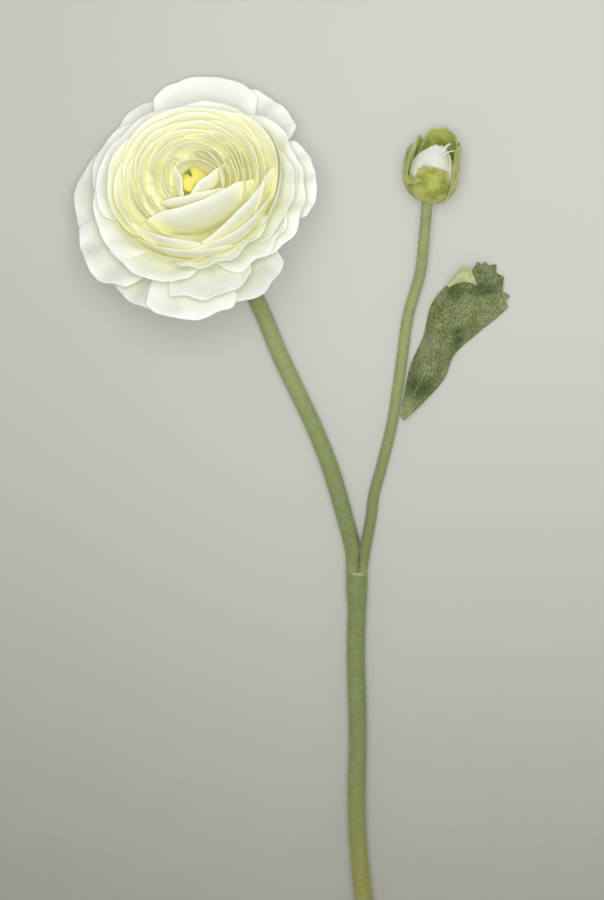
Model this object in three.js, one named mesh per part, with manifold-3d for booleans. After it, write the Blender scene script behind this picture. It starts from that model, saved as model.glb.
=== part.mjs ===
// A cut ranunculus spray lying on a flat surface: an open bloom and a bud on a forked stem, with one leaf.
// Millimetres, +Z up. The surface is z = 0, +Y runs from the cut end of the stem to the bloom, and the
// origin is the middle of the spray's footprint. Heads are drawn in frames of their own, in which +Z is
// the way the head faces, and their groups turn and place them.
import * as THREE from "three";
import { mergeVertices } from "three/addons/utils/BufferGeometryUtils.js";
import Module from "manifold-3d";

const wasm = await Module();
wasm.setup();

// Clearance between neighbouring pieces, and the blades' thicknesses
const GAP = 0.3;
const PETAL_THICKNESS = 0.7;
const SEPAL_THICKNESS = 0.9;
const LEAF_THICKNESS = 0.8;

// Stems: radii, the sides of a stem's section, and the share of the radius at which a side's flat lies
const MAIN_RADIUS = 3.5;
const CUT_END_RADIUS = 3.7;
const COLLAR_RADIUS = 4.1;
const BLOOM_STEM_RADIUS = 3.2;
const BLOOM_STEM_FOOT_RADIUS = 2.3;
const BUD_STEM_RADIUS = 2.1;
const BUD_STEM_FOOT_RADIUS = 1.6;
const STEM_SIDES = 12;
const FLAT_SHARE = Math.cos(Math.PI / STEM_SIDES);
const REST_CUT = 0.06;
const CUT_END_Y = -167.2;
const FORK_Y = -16.6;
const COLLAR_LENGTH = 6;
const FOOT_LENGTH = 14;

// The bloom: where its receptacle is, how far it leans from upright, and towards what bearing
const BLOOM_PLACE = new THREE.Vector3(-33.3, 120.2, 16.7);
const BLOOM_TILT = 27;
const BLOOM_BEARING = 112;
const STEM_BEND = 14;
const STEM_NECK = 2.4;
const HUB_RADIUS = 5.4;
const HUB_FOOT_RADIUS = 3.3;
const HUB_DEPTH = 4;
const DISC_RADIUS = 7.6;
const DISC_TOP = 3;
const DRUM_RADIUS = 9;
const DRUM_TOP = 9.3;
const ROSETTE_PETALS = 20;
const ROSETTE_START = 5.4;
const ROSETTE_RADIUS = 33;
const ROSETTE_FIRST_AZIMUTH = 70;
const GOLDEN_ANGLE = 137.5;
// The root of the petals that lean over the eye, as (radius, height)
const HEART_ROOT = [5, 8.6];
const EYE_RADIUS = 4.3;
const EYE_TOP = 20.5;
const EYE_DOME = 2.4;
const EYE_FOLDS = 5;
const CALYX_SEPALS = 5;
// The direction, in the bloom's own frame, of its side that is nearest to a viewer above
const NEAR_SIDE = 292;

// The bud: where its base is, how far it rises, and towards what bearing
const BUD_PLACE = new THREE.Vector3(49.2, 121, 8.1);
const BUD_RISE = 10;
const BUD_BEARING = 79.5;
const BUD_FOOT_RADIUS = 3;
const BUD_LENGTH = 23;
const BUD_WHITE_PETALS = 3;

const degrees = THREE.MathUtils.degToRad;
const clamp = THREE.MathUtils.clamp;
const smooth = (x, low, high) => THREE.MathUtils.smoothstep(x, low, high);

// A repeatable scatter between -1 and 1.
function scatter(seed) {
  const wave = Math.sin(seed * 12.9898) * 43758.5453;
  return 2 * (wave - Math.floor(wave)) - 1;
}

function solidOf(geometry) {
  const bare = geometry.clone();
  bare.deleteAttribute("normal");
  bare.deleteAttribute("uv");
  const merged = mergeVertices(bare, 1e-4);
  return new wasm.Manifold(
    new wasm.Mesh({
      numProp: 3,
      vertProperties: new Float32Array(merged.attributes.position.array),
      triVerts: new Uint32Array(merged.index.array),
    }),
  );
}

function geometryOf(solid) {
  const mesh = solid.getMesh();
  return new THREE.BufferGeometry()
    .setAttribute("position", new THREE.BufferAttribute(new Float32Array(mesh.vertProperties), 3))
    .setIndex(new THREE.BufferAttribute(new Uint32Array(mesh.triVerts), 1));
}

// The largest body of a solid, without loose scraps and without any hollow that joining has sealed.
function largestBody(solid) {
  return solid.decompose().reduce((largest, body) => (body.volume() > largest.volume() ? body : largest));
}

// Joins geometries into one body.
function fused(geometries) {
  return largestBody(wasm.Manifold.union(geometries.map(solidOf)));
}

// A blade of even thickness over a square grid from -1 to 1, both faces split into triangles alike.
function blade(pointAt, columns, rows, thickness) {
  const step = 1e-3;
  const sheet = new THREE.PlaneGeometry(2, 2, columns, rows);
  const flat = sheet.attributes.position;
  const count = flat.count;
  const places = new Float32Array(count * 6);
  for (let i = 0; i < count; i++) {
    const x = flat.getX(i);
    const y = flat.getY(i);
    const along = pointAt(x, y + step).sub(pointAt(x, y - step));
    const across = pointAt(x + step, y).sub(pointAt(x - step, y));
    const normal = across.cross(along).normalize();
    const middle = pointAt(x, y);
    middle.clone().addScaledVector(normal, thickness / 2).toArray(places, i * 3);
    middle.addScaledVector(normal, -thickness / 2).toArray(places, (count + i) * 3);
  }
  const upper = Array.from(sheet.index.array);
  const index = [...upper];
  for (let i = 0; i < upper.length; i += 3) {
    index.push(count + upper[i], count + upper[i + 2], count + upper[i + 1]);
  }
  const rim = rimOf(columns, rows);
  rim.forEach((a, i) => {
    const b = rim[(i + 1) % rim.length];
    index.push(a, b, count + b, a, count + b, count + a);
  });
  return new THREE.BufferGeometry()
    .setAttribute("position", new THREE.BufferAttribute(places, 3))
    .setIndex(index);
}

// The grid's edge points, in the order that turns the rim's faces outwards.
function rimOf(columns, rows) {
  const at = (column, row) => row * (columns + 1) + column;
  const rim = [];
  for (let column = 0; column < columns; column++) rim.push(at(column, 0));
  for (let row = 0; row < rows; row++) rim.push(at(columns, row));
  for (let column = columns; column > 0; column--) rim.push(at(column, rows));
  for (let row = rows; row > 0; row--) rim.push(at(0, row));
  return rim;
}

// A square grid's point moved to a rounder outline: a disc where full is 0, still a square where it is 1.
function rounded(x, y, full) {
  const pull = (1 - full) / 2;
  return [x * Math.sqrt(1 - y * y * pull), y * Math.sqrt(1 - x * x * pull)];
}

// A direction in a head's (radius, height) half plane, measured from the head's axis.
function ray(lean) {
  return new THREE.Vector2(Math.sin(degrees(lean)), Math.cos(degrees(lean)));
}

// A petal or sepal as a function of its grid. Its midrib runs in the (radius, height) half plane from
// root to tip, and its leans are measured from the head's axis, so 90 lies flat and 0 stands upright.
// It keeps to the bowl that its midrib would sweep round the axis, so petals of nested bowls stay apart.
// A twist lifts one side and lowers the other, a lip turns the margin back and a ruffle waves it. An
// incurve bends it towards the axis on the bloom's near side, a bulge rounds its midrib, and a point
// narrows it towards its tip.
function petal(shape) {
  const { azimuth, root, tip, rootLean, tipLean, half } = shape;
  const { belly = 0.3, ruffle = 0, waves = 3, phase = 0, lip = 0, twist = 0, flatten = 0 } = shape;
  const { full = 0, incurve = 0, bulge = 0.38, point = 0 } = shape;
  const start = new THREE.Vector2(...root);
  const end = new THREE.Vector2(...tip);
  const reach = start.distanceTo(end) * bulge;
  const leave = start.clone().addScaledVector(ray(rootLean), reach);
  const widest = Math.max(tip[0], root[0], half * 0.7);
  return (u, v) => {
    const [x, y] = rounded(clamp(u, -1, 1), clamp(v, -1, 1), full);
    const edge = x * x + y * y;
    const t = (y + 1) / 2;
    const angle = ((x * half) / widest) * (1 + belly * (1 - t)) * (1 - point * smooth(t, 0.4, 1));
    const turn = degrees(azimuth) + angle;
    const near = 0.5 + 0.5 * Math.cos(turn - degrees(NEAR_SIDE));
    const arrive = end.clone().addScaledVector(ray(tipLean - incurve * near * near), -reach);
    const midrib = new THREE.CubicBezierCurve(start, leave, arrive, end);
    const rib = midrib.getPoint(t);
    const run = midrib.getTangent(t);
    const wave = ruffle * Math.sin(waves * Math.PI * x + phase) * smooth(y, -0.4, 1);
    const lift = (twist * x * (rib.x - root[0])) / widest - lip * edge ** 3 + wave;
    const r = rib.x - run.y * lift + flatten * rib.x * angle * angle * 0.5;
    const z = rib.y + run.x * lift;
    return new THREE.Vector3(r * Math.cos(turn), r * Math.sin(turn), z);
  };
}

// A solid turned about the head's axis from a profile of (radius, height) points.
function lathe(profile, sides) {
  const points = profile.map(([r, z]) => new THREE.Vector2(r, z));
  return new THREE.LatheGeometry(points, sides).rotateX(Math.PI / 2);
}

// A list of what makeOne(i, azimuth) gives, once for each of so many even steps round the head's axis.
function aroundHead(count, makeOne) {
  return Array.from({ length: count }, (_, i) => makeOne(i, (360 / count) * i));
}

// A round limb along a curve, with a flat of its section underneath all the way.
function limb(curve, radiusAt, rings) {
  const rod = new THREE.CylinderGeometry(1, 1, 1, STEM_SIDES, rings).rotateY(Math.PI / STEM_SIDES);
  const places = rod.attributes.position;
  const up = new THREE.Vector3(0, 0, 1);
  for (let i = 0; i < places.count; i++) {
    const t = clamp(places.getY(i) + 0.5, 0, 1);
    const along = curve.getTangentAt(t);
    const side = along.clone().cross(up).normalize();
    const top = side.clone().cross(along);
    const radius = radiusAt(t);
    const place = curve.getPointAt(t);
    place.addScaledVector(side, places.getX(i) * radius).addScaledVector(top, places.getZ(i) * radius);
    places.setXYZ(i, place.x, place.y, place.z);
  }
  return rod;
}

// The height of a lying limb's middle: its lowest flat is just under the surface, and is cut off there.
function lyingHeight(radius) {
  return radius * FLAT_SHARE - REST_CUT;
}

// A curve through [x, y, z] places; one without a height lies on the surface with its own radius.
function curveThrough(places, radius) {
  const points = places.map(([x, y, z]) => new THREE.Vector3(x, y, z ?? lyingHeight(radius)));
  return new THREE.CatmullRomCurve3(points, false, "centripetal");
}

function mainStem() {
  const collar = lyingHeight(COLLAR_RADIUS);
  const route = [
    [29.8, CUT_END_Y, lyingHeight(CUT_END_RADIUS)],
    [25.8, -136.9],
    [23.7, -115.1],
    [23.2, -96],
    [23.6, -75],
    [22.9, -46],
    [23.3, -28],
    [23.2, FORK_Y - COLLAR_LENGTH, collar],
    [23.3, FORK_Y, collar],
  ];
  const curve = curveThrough(route, MAIN_RADIUS);
  const length = curve.getLength();
  const radiusAt = (t) => {
    const flare = smooth(t * length, length - 2.5 * COLLAR_LENGTH, length - 0.6 * COLLAR_LENGTH);
    const foot = 1 - smooth(t, 0, 0.35);
    return MAIN_RADIUS + (COLLAR_RADIUS - MAIN_RADIUS) * flare + (CUT_END_RADIUS - MAIN_RADIUS) * foot;
  };
  return limb(curve, radiusAt, 20);
}

// A branch's radius grows from its narrow foot in the collar to its full size.
function branchRadius(curve, foot, full) {
  const length = curve.getLength();
  return (t) => foot + (full - foot) * smooth(t * length, 0, FOOT_LENGTH);
}

const bloomAxis = new THREE.Vector3(
  Math.sin(degrees(BLOOM_TILT)) * Math.cos(degrees(BLOOM_BEARING)),
  Math.sin(degrees(BLOOM_TILT)) * Math.sin(degrees(BLOOM_BEARING)),
  Math.cos(degrees(BLOOM_TILT)),
);

// The stem's last stretch bends upwards in an arc and ends in a short neck along the bloom's axis.
function bloomBend() {
  const neckTop = BLOOM_PLACE.clone().addScaledVector(bloomAxis, -HUB_DEPTH - GAP);
  const end = neckTop.clone().addScaledVector(bloomAxis, -STEM_NECK);
  const along = new THREE.Vector3(bloomAxis.x, bloomAxis.y, 0).normalize();
  const lastAngle = degrees(90 - BLOOM_TILT);
  const arc = [0.15, 0.45, 0.75, 1].map((share) => {
    const angle = lastAngle * share;
    const back = STEM_BEND * (Math.sin(lastAngle) - Math.sin(angle));
    const drop = STEM_BEND * (Math.cos(angle) - Math.cos(lastAngle));
    return end.clone().addScaledVector(along, -back).add(new THREE.Vector3(0, 0, -drop)).toArray();
  });
  return [...arc, end.clone().lerp(neckTop, 0.5).toArray(), neckTop.toArray()];
}

function bloomStem() {
  const lying = [
    [21.2, FORK_Y + GAP, 3.6],
    [21.2, -7, 3.1],
    [19.1, 3.7],
    [13.7, 22.2],
    [7.9, 37],
    [-4.8, 64],
    [-11.8, 80.7],
    [-18.5, 94],
  ];
  const curve = curveThrough([...lying, ...bloomBend()], BLOOM_STEM_RADIUS);
  return limb(curve, branchRadius(curve, BLOOM_STEM_FOOT_RADIUS, BLOOM_STEM_RADIUS), 25);
}

const budBasis = new THREE.Matrix4().makeBasis(
  new THREE.Vector3(-Math.sin(degrees(BUD_BEARING)), Math.cos(degrees(BUD_BEARING)), 0),
  new THREE.Vector3(
    -Math.sin(degrees(BUD_RISE)) * Math.cos(degrees(BUD_BEARING)),
    -Math.sin(degrees(BUD_RISE)) * Math.sin(degrees(BUD_BEARING)),
    Math.cos(degrees(BUD_RISE)),
  ),
  new THREE.Vector3(
    Math.cos(degrees(BUD_RISE)) * Math.cos(degrees(BUD_BEARING)),
    Math.cos(degrees(BUD_RISE)) * Math.sin(degrees(BUD_BEARING)),
    Math.sin(degrees(BUD_RISE)),
  ),
);

function budStem() {
  const axis = new THREE.Vector3().setFromMatrixColumn(budBasis, 2);
  const end = BUD_PLACE.clone().addScaledVector(axis, -GAP);
  const route = [
    [25.6, FORK_Y + GAP, 3.6],
    [26.7, -7, 2.8],
    [28.4, 3.7],
    [29.6, 13],
    [32.2, 22.6],
    [36.3, 39.4],
    [39.5, 59.9],
    [42.2, 79, 3.2],
    [46.7, 95, 4.2],
    [48.1, 107.5, 6],
    end.toArray(),
  ];
  const curve = curveThrough(route, BUD_STEM_RADIUS);
  return limb(curve, branchRadius(curve, BUD_STEM_FOOT_RADIUS, BUD_STEM_RADIUS), 23);
}

// The bowl that the cream rosette fills inside the white petals, grown by a clearance.
function rosetteRoom(clearance) {
  const floor = DISC_TOP + GAP - clearance;
  return lathe(
    [
      [0, floor],
      [9 + clearance, floor],
      [20 + clearance, 6.8 - clearance],
      [27 + clearance, 10 - clearance],
      [32 + clearance, 14 - clearance],
      [34 + clearance, 19],
      [36.5 + clearance, 26],
      [38 + clearance, 32],
      [0, 44],
    ],
    24,
  );
}

// The white petals, from the back to the front: two flat layers, then a shallow cup of ruffled ones.
const WHITE_PETALS = [
  { azimuth: 121, tip: [46.5, 5.5], half: 23 },
  { azimuth: 172, tip: [48, 4.5], half: 25, ruffle: 0.5 },
  { azimuth: 243, tip: [48, 4], half: 17, ruffle: 0.6 },
  { azimuth: 52, tip: [48.5, 5.5], half: 17, ruffle: 0.9 },
  { azimuth: 9, tip: [44.2, 7], half: 20, ruffle: 0.6, waves: 4 },
  { azimuth: 298, tip: [46, 5.5], half: 20, ruffle: 0.5 },
  { azimuth: 89, tip: [48.3, 8.5], half: 25 },
  { azimuth: 150, tip: [43.5, 8], half: 24 },
  { azimuth: 213, tip: [49.5, 7], half: 21, ruffle: 0.5 },
  { azimuth: 267, tip: [51, 8], half: 21, ruffle: 0.9 },
  { azimuth: 350, tip: [41, 10.5], half: 26, ruffle: 1, waves: 4 },
  { azimuth: 196, tip: [40, 12], half: 24 },
  { azimuth: 279, tip: [44.5, 12], half: 20, ruffle: 0.5 },
  { azimuth: 322, tip: [38, 12.5], half: 24, ruffle: 1.2, waves: 4 },
  { azimuth: 130, tip: [37, 14.5], half: 24 },
  { azimuth: 28, tip: [38.5, 13.5], half: 24, ruffle: 0.5 },
  { azimuth: 240, tip: [40, 14], half: 22 },
  { azimuth: 296, tip: [35, 18], tipLean: 46, half: 24, ruffle: 1, waves: 4 },
  { azimuth: 352, tip: [37, 16], half: 24, ruffle: 0.6 },
  { azimuth: 165, tip: [38.5, 15.5], half: 24 },
  { azimuth: 82, tip: [33.5, 18.5], tipLean: 46, half: 24 },
];

function whitePetals() {
  return WHITE_PETALS.map((shape, i) => {
    const front = i / (WHITE_PETALS.length - 1);
    const root = [DISC_RADIUS - 2.4 - 0.4 * front, 0.6 + 1.8 * front];
    const leans = { rootLean: 93 - 9 * front, tipLean: 84 - 30 * smooth(front, 0.35, 0.8) };
    return { root, ...leans, twist: 1.2, phase: i, belly: 0.4, full: 0.45, ...shape };
  });
}

function bloomOuterPetals() {
  const disc = new THREE.CylinderGeometry(DISC_RADIUS, DISC_RADIUS, DISC_TOP, 20).rotateX(Math.PI / 2);
  disc.translate(0, 0, DISC_TOP / 2);
  const blades = whitePetals().map((shape) => blade(petal(shape), 4, 4, PETAL_THICKNESS));
  return geometryOf(fused([disc, ...blades]).subtract(solidOf(rosetteRoom(GAP))));
}

// The small petals round the bloom's middle, which close to a three-sided opening
const HEART_PETALS = [
  { azimuth: 200, tip: [3.5, 24], tipLean: -50, half: 4.6, flatten: 1, bulge: 0.6 },
  { azimuth: 318, tip: [3.4, 24.2], tipLean: -60, half: 5.4, flatten: 1, bulge: 0.6 },
  { azimuth: 280, tip: [7.8, 25.4], rootLean: 30, tipLean: -40, half: 9, flatten: 0.5, bulge: 0.6 },
];

// The petals at the middle's two sides, whose rims show as crescents, and the far ones between them
const SIDE_PETALS = [
  { azimuth: 196, tip: [10.6, 25.2], half: 5.6, point: 0.4 },
  { azimuth: 174, tip: [14.4, 27.4], half: 8.5, point: 0.4 },
  { azimuth: 206, tip: [22.4, 24.6], half: 10, point: 0.3 },
  { azimuth: 60, tip: [10, 26.4], half: 8 },
  { azimuth: 18, tip: [15.2, 26.2], half: 8, point: 0.4 },
  { azimuth: 12, tip: [21.2, 25.4], half: 11, point: 0.3 },
  { azimuth: 22, tip: [24.6, 25.2], half: 15 },
];

// The broad petal in front of the middle, and those that wrap the rosette below it
const NEAR_PETALS = [
  { azimuth: 291, root: [6, 6.9], tip: [12, 27], tipLean: -42, half: 15.2, flatten: 0.35, bulge: 0.68 },
  { azimuth: 320, root: [6.4, 6.6], tip: [23.4, 24.4], tipLean: -34, half: 22, flatten: 0.25, bulge: 0.6 },
  { azimuth: 250, root: [6.6, 6.2], tip: [25.6, 23], tipLean: -26, half: 19, bulge: 0.6 },
  { azimuth: 1, root: [6.8, 6], tip: [32.6, 22.3], tipLean: -6, half: 27, bulge: 0.5 },
  { azimuth: 304, root: [7, 5.6], tip: [27.4, 22], tipLean: -24, half: 25, bulge: 0.5 },
  { azimuth: 262, root: [7.2, 5.4], tip: [28.6, 21], tipLean: -16, half: 22, bulge: 0.5 },
  { azimuth: 232, root: [7.6, 5], tip: [32, 19.5], tipLean: 4, half: 26 },
];

// The root and the leans of a rosette petal whose tip stands on a ring, so that the petals stay nested.
function nested(ring) {
  const grown = (ring - ROSETTE_START) / (ROSETTE_RADIUS - ROSETTE_START);
  return {
    root: [5.2 + 3 * grown, 8.6 - 4.4 * grown],
    rootLean: 4 + 80 * smooth(grown, -0.15, 0.8),
    tipLean: -18 + 58 * smooth(grown, 0, 1.05),
    incurve: 40,
  };
}

// The far petals of the rosette, in an opening spiral that leaves its near side to the broad petals.
function spiralPetals() {
  const petals = [];
  for (let i = 0; i < ROSETTE_PETALS; i++) {
    const grown = (i / (ROSETTE_PETALS - 1)) ** 0.85;
    const ring = ROSETTE_START + (ROSETTE_RADIUS - ROSETTE_START) * grown + 0.3 * scatter(i + 1);
    const azimuth = ROSETTE_FIRST_AZIMUTH + i * GOLDEN_ANGLE + 8 * scatter(i + 101);
    const near = Math.cos(degrees(azimuth - NEAR_SIDE));
    if (ring < 9 || near > (ring < 23 ? -0.15 : 0.35)) continue;
    const height = 23.5 + 4.5 * smooth(ring, 4, 14) - 6.5 * smooth(ring, 16, 35) + 0.5 * scatter(i + 51);
    const half = ring * (1.15 - 0.3 * grown);
    petals.push({ azimuth, tip: [ring, height], half, ruffle: 0.3 * grown, phase: 3 * scatter(i + 201) });
  }
  return petals;
}

// The rosette: petals in an opening spiral, those at the middle's sides, and broad ones on the near side.
function rosettePetals() {
  const common = { full: 0.3, belly: 0.1, twist: 0.4 };
  const rings = [...spiralPetals(), ...SIDE_PETALS].map((own) => ({ ...nested(own.tip[0]), ...own }));
  const heart = HEART_PETALS.map((own) => ({ root: HEART_ROOT, rootLean: 0, ...own }));
  const near = NEAR_PETALS.map((own) => ({ rootLean: 84, ...own }));
  return [...rings, ...heart, ...near].map((own) => ({ ...common, ...own }));
}

function bloomInnerPetals() {
  const foot = DISC_TOP + GAP;
  const profile = [[0, foot], [DRUM_RADIUS, foot], [DRUM_RADIUS, foot + 1.2], [6, DRUM_TOP], [0, DRUM_TOP]];
  const cone = lathe(profile, 14);
  const blades = rosettePetals().map((shape) => blade(petal(shape), 4, 3, PETAL_THICKNESS));
  const rosette = fused([cone, ...blades]).subtract(solidOf(eyeRoom(GAP)));
  return geometryOf(largestBody(rosette.intersect(solidOf(rosetteRoom(0)))));
}

// The room of the bloom's eye, grown by a clearance.
function eyeRoom(clearance) {
  const foot = DRUM_TOP + GAP - clearance;
  const top = EYE_TOP + clearance;
  const radius = EYE_RADIUS + clearance;
  return lathe([[0, foot], [radius, foot], [radius, top - EYE_DOME], [2.4 + clearance, top], [0, top]], 14);
}

// The closed yellow-green middle: a low dome of small folded petals.
function bloomEye() {
  const foot = DRUM_TOP + GAP;
  const shoulder = EYE_TOP - EYE_DOME;
  const side = [[2.8, foot], [EYE_RADIUS, foot + 3], [EYE_RADIUS, shoulder]];
  const core = lathe([[0, foot], ...side, [0, EYE_TOP - 0.4]], 14);
  const folds = aroundHead(EYE_FOLDS, (i, azimuth) => {
    const shape = { azimuth, root: [2.2, foot + 1.4], tip: [0.9, EYE_TOP - 0.3 * i] };
    return blade(petal({ ...shape, rootLean: 8, tipLean: -20, half: 2 }), 3, 3, PETAL_THICKNESS);
  });
  return geometryOf(fused([core, ...folds]).intersect(solidOf(eyeRoom(0))));
}

// The swollen end of the stem and the five sepals behind the bloom.
function bloomCalyx() {
  const foot = -HUB_DEPTH;
  const top = -GAP;
  const shoulder = top - 1.2;
  const profile = [[0, foot], [HUB_FOOT_RADIUS, foot], [HUB_RADIUS, shoulder], [HUB_RADIUS, top], [0, top]];
  const hub = lathe(profile, 20);
  const sepals = aroundHead(CALYX_SEPALS, (i, azimuth) => {
    const shape = { azimuth: azimuth + 20, root: [3.4, -1.7], tip: [18, -3.2] };
    return blade(petal({ ...shape, rootLean: 92, tipLean: 104, half: 5.5 }), 3, 4, SEPAL_THICKNESS);
  });
  return geometryOf(fused([hub, ...sepals]));
}

// The room of the bud's white petals inside its sepals, grown by a clearance.
function budRoom(clearance) {
  return lathe(
    [
      [0, 1 - clearance],
      [3.2 + clearance, 1 - clearance],
      [6.6 + clearance, 4 - clearance],
      [8.1 + clearance, 7.5],
      [8.6 + clearance, 11],
      [8.2 + clearance, 16],
      [6.4 + clearance, 20.5 + clearance],
      [2.6 + clearance, BUD_LENGTH - 0.4 + clearance],
      [0, BUD_LENGTH + clearance],
    ],
    14,
  );
}

function budPetals() {
  const core = lathe([[0, 1], [3.1, 1], [4.3, 4], [4, 12], [2.2, 17], [0, 18]], 8);
  const blades = aroundHead(BUD_WHITE_PETALS, (i) => {
    const tip = [2.6 - 0.3 * i, 22.1 - 0.5 * (i % 3)];
    const shape = { azimuth: 88 + GOLDEN_ANGLE * i, root: [2.4, 2.2], tip, bulge: 0.48 };
    const bend = { rootLean: 66, tipLean: -50, half: 8 - 0.3 * i, twist: 0.9, belly: 0.2 };
    return blade(petal({ ...shape, ...bend }), 3, 4, PETAL_THICKNESS);
  });
  return geometryOf(fused([core, ...blades]).intersect(solidOf(budRoom(0))));
}

// Azimuths in the bud's frame: 0 is its left side, 90 its upper side and 180 its right side.
const BUD_SEPALS = [
  { azimuth: 196, tip: [9.3, 23.8], half: 6.5, tipLean: -8, bulge: 0.42, full: 0.35 },
  { azimuth: 102, tip: [9.6, 15.2], half: 8.5, tipLean: 4, bulge: 0.47, full: 0.3 },
  { azimuth: 40, tip: [12.2, 7], half: 6.5, rootLean: 85, tipLean: 160, bulge: 0.75, full: 0.4 },
  { azimuth: 5, tip: [10, 21], half: 4.5, tipLean: -25, bulge: 0.42 },
  { azimuth: 338, tip: [8.4, 24], half: 6, tipLean: -8, full: 0.3 },
  { azimuth: 250, tip: [4.6, 28.2], half: 7, tipLean: -34, full: 0.4 },
];

function budSepals() {
  const foot = lathe([[0, 0], [BUD_FOOT_RADIUS - 0.6, 0], [BUD_FOOT_RADIUS, 0.7], [4.4, 2.4], [0, 2.4]], 14);
  const sepals = BUD_SEPALS.map((shape, i) => {
    const whole = { root: [2.6, 0.9], rootLean: 88, phase: i, ruffle: 0.2, belly: 0.1, twist: 0.5, ...shape };
    return blade(petal(whole), 3, 4, SEPAL_THICKNESS);
  });
  return geometryOf(fused([foot, ...sepals]).subtract(solidOf(budRoom(GAP))));
}

// The leaf's outline from above, foot to tip along both sides, then across its toothed tip.
const LEAF_LEFT = [
  [39.3, 42.4],
  [40.9, 50.5],
  [43.4, 61.5],
  [48, 71.8],
  [50.7, 83],
  [56.2, 90.2],
  [61, 91.8],
  [65.2, 92.9],
  [66, 96.4],
];
const LEAF_RIGHT = [
  [40.7, 40.4],
  [48.3, 47.7],
  [55.6, 56],
  [59.4, 65],
  [67.7, 72.5],
  [74, 77.5],
  [79.5, 82.5],
];
const LEAF_TIP = [
  [66, 96.4],
  [68, 99.4],
  [69.2, 98.3],
  [71, 99.5],
  [71.9, 98],
  [74.9, 98.5],
  [74.9, 95.4],
  [77.8, 93.8],
  [77.2, 88.4],
  [80.1, 86.8],
  [78.6, 84.7],
  [79.5, 82.5],
];
// The leaf's left side is folded back near the tip, from the fold to the strip's free edge.
const FOLD = [
  [56.6, 90.2],
  [58.9, 93.4],
  [61.8, 96.7],
  [63.4, 97.4],
  [65.5, 96.2],
];
const FREE_EDGE = [
  [57.2, 89.8],
  [59.8, 91.1],
  [63.2, 91.8],
  [66, 91.2],
  [67.8, 90.3],
];
const spline = (places) => new THREE.SplineCurve(places.map(([x, y]) => new THREE.Vector2(x, y)));
const leafLeft = spline(LEAF_LEFT);
const leafRight = spline(LEAF_RIGHT);
const fold = spline(FOLD);
const freeEdge = spline(FREE_EDGE);

function leafTip(s) {
  const place = clamp(s, 0, 1) * (LEAF_TIP.length - 1);
  const i = Math.min(Math.floor(place), LEAF_TIP.length - 2);
  return new THREE.Vector2(...LEAF_TIP[i]).lerp(new THREE.Vector2(...LEAF_TIP[i + 1]), place - i);
}

// The leaf arches between its sides, is creased along its midrib and curls up along its left side.
function leafHeight(s, t) {
  const arch = 5.5 * Math.sin(Math.PI * s) * smooth(t, 0, 0.35) * (1 - 0.6 * smooth(t, 0.6, 1));
  const crease = -1.6 * Math.exp(-(((s - 0.55) / 0.1) ** 2)) * smooth(t, 0.15, 0.5);
  const curl = 6 * (1 - smooth(s, 0, 0.5)) * smooth(t, 0.35, 0.8);
  const foot = 2.6 * (1 - smooth(t, 0, 0.4));
  const wave = 0.5 * Math.sin(9 * t + 4 * s) * smooth(t, 0.2, 0.6);
  return Math.max(0.75 + foot + arch + crease + curl + wave, LEAF_THICKNESS / 2 + 0.05);
}

function leafPoint(x, y) {
  const s = clamp((x + 1) / 2, 0, 1);
  const t = clamp((y + 1) / 2, 0, 1);
  const plain = leafLeft.getPoint(t).lerp(leafRight.getPoint(t), s);
  const end = leafLeft.getPoint(1).lerp(leafRight.getPoint(1), s);
  const place = plain.addScaledVector(leafTip(s).sub(end), t ** 4);
  return new THREE.Vector3(place.x, place.y, leafHeight(s, t));
}

// The folded strip stands a little off the leaf below it.
function foldPoint(x, y) {
  const along = clamp((y + 1) / 2, 0, 1);
  const over = clamp((x + 1) / 2, 0, 1);
  const place = fold.getPoint(along).lerp(freeEdge.getPoint(along), over);
  const arch = 1.6 * Math.sin(Math.PI * over * 0.8) * Math.sin(Math.PI * clamp(along, 0.1, 0.8));
  return new THREE.Vector3(place.x, place.y, leafHeight(0.2 * over, 0.8 + 0.15 * along) + 0.6 + arch);
}

function leaf() {
  const sheet = blade(leafPoint, 2 * (LEAF_TIP.length - 1), 7, LEAF_THICKNESS);
  const strip = blade(foldPoint, 3, 5, LEAF_THICKNESS);
  return geometryOf(fused([sheet, strip]));
}

function makePiece(name, geometry, colour, roughness) {
  const material = new THREE.MeshStandardMaterial({ color: colour, roughness, metalness: 0 });
  const piece = new THREE.Mesh(geometry, material);
  piece.name = name;
  return piece;
}

// Takes off what lies below the surface, so that the piece rests on small flats there.
function flattened(geometry, group) {
  const below = new THREE.BoxGeometry(400, 400, 50).translate(0, 0, -25);
  below.applyMatrix4(group.matrix.clone().invert());
  return geometryOf(largestBody(solidOf(geometry).subtract(solidOf(below))));
}

function bloomHead() {
  const head = new THREE.Group();
  const bearing = degrees(BLOOM_BEARING);
  const hinge = new THREE.Vector3(-Math.sin(bearing), Math.cos(bearing), 0);
  head.quaternion.setFromAxisAngle(hinge, degrees(BLOOM_TILT));
  head.position.copy(BLOOM_PLACE);
  head.updateMatrix();
  head.add(makePiece("bloom_outer_petals", flattened(bloomOuterPetals(), head), 0xf1f3ea, 0.6));
  head.add(makePiece("bloom_inner_petals", bloomInnerPetals(), 0xf3f1c8, 0.6));
  head.add(makePiece("bloom_eye", bloomEye(), 0xd7cd50, 0.65));
  head.add(makePiece("bloom_calyx", bloomCalyx(), 0xa0aa64, 0.75));
  return head;
}

function budHead() {
  const head = new THREE.Group();
  head.quaternion.setFromRotationMatrix(budBasis);
  head.position.copy(BUD_PLACE);
  head.updateMatrix();
  head.add(makePiece("bud_petals", flattened(budPetals(), head), 0xf0f4e2, 0.6));
  head.add(makePiece("bud_sepals", flattened(budSepals(), head), 0xafb44b, 0.7));
  return head;
}

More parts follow.
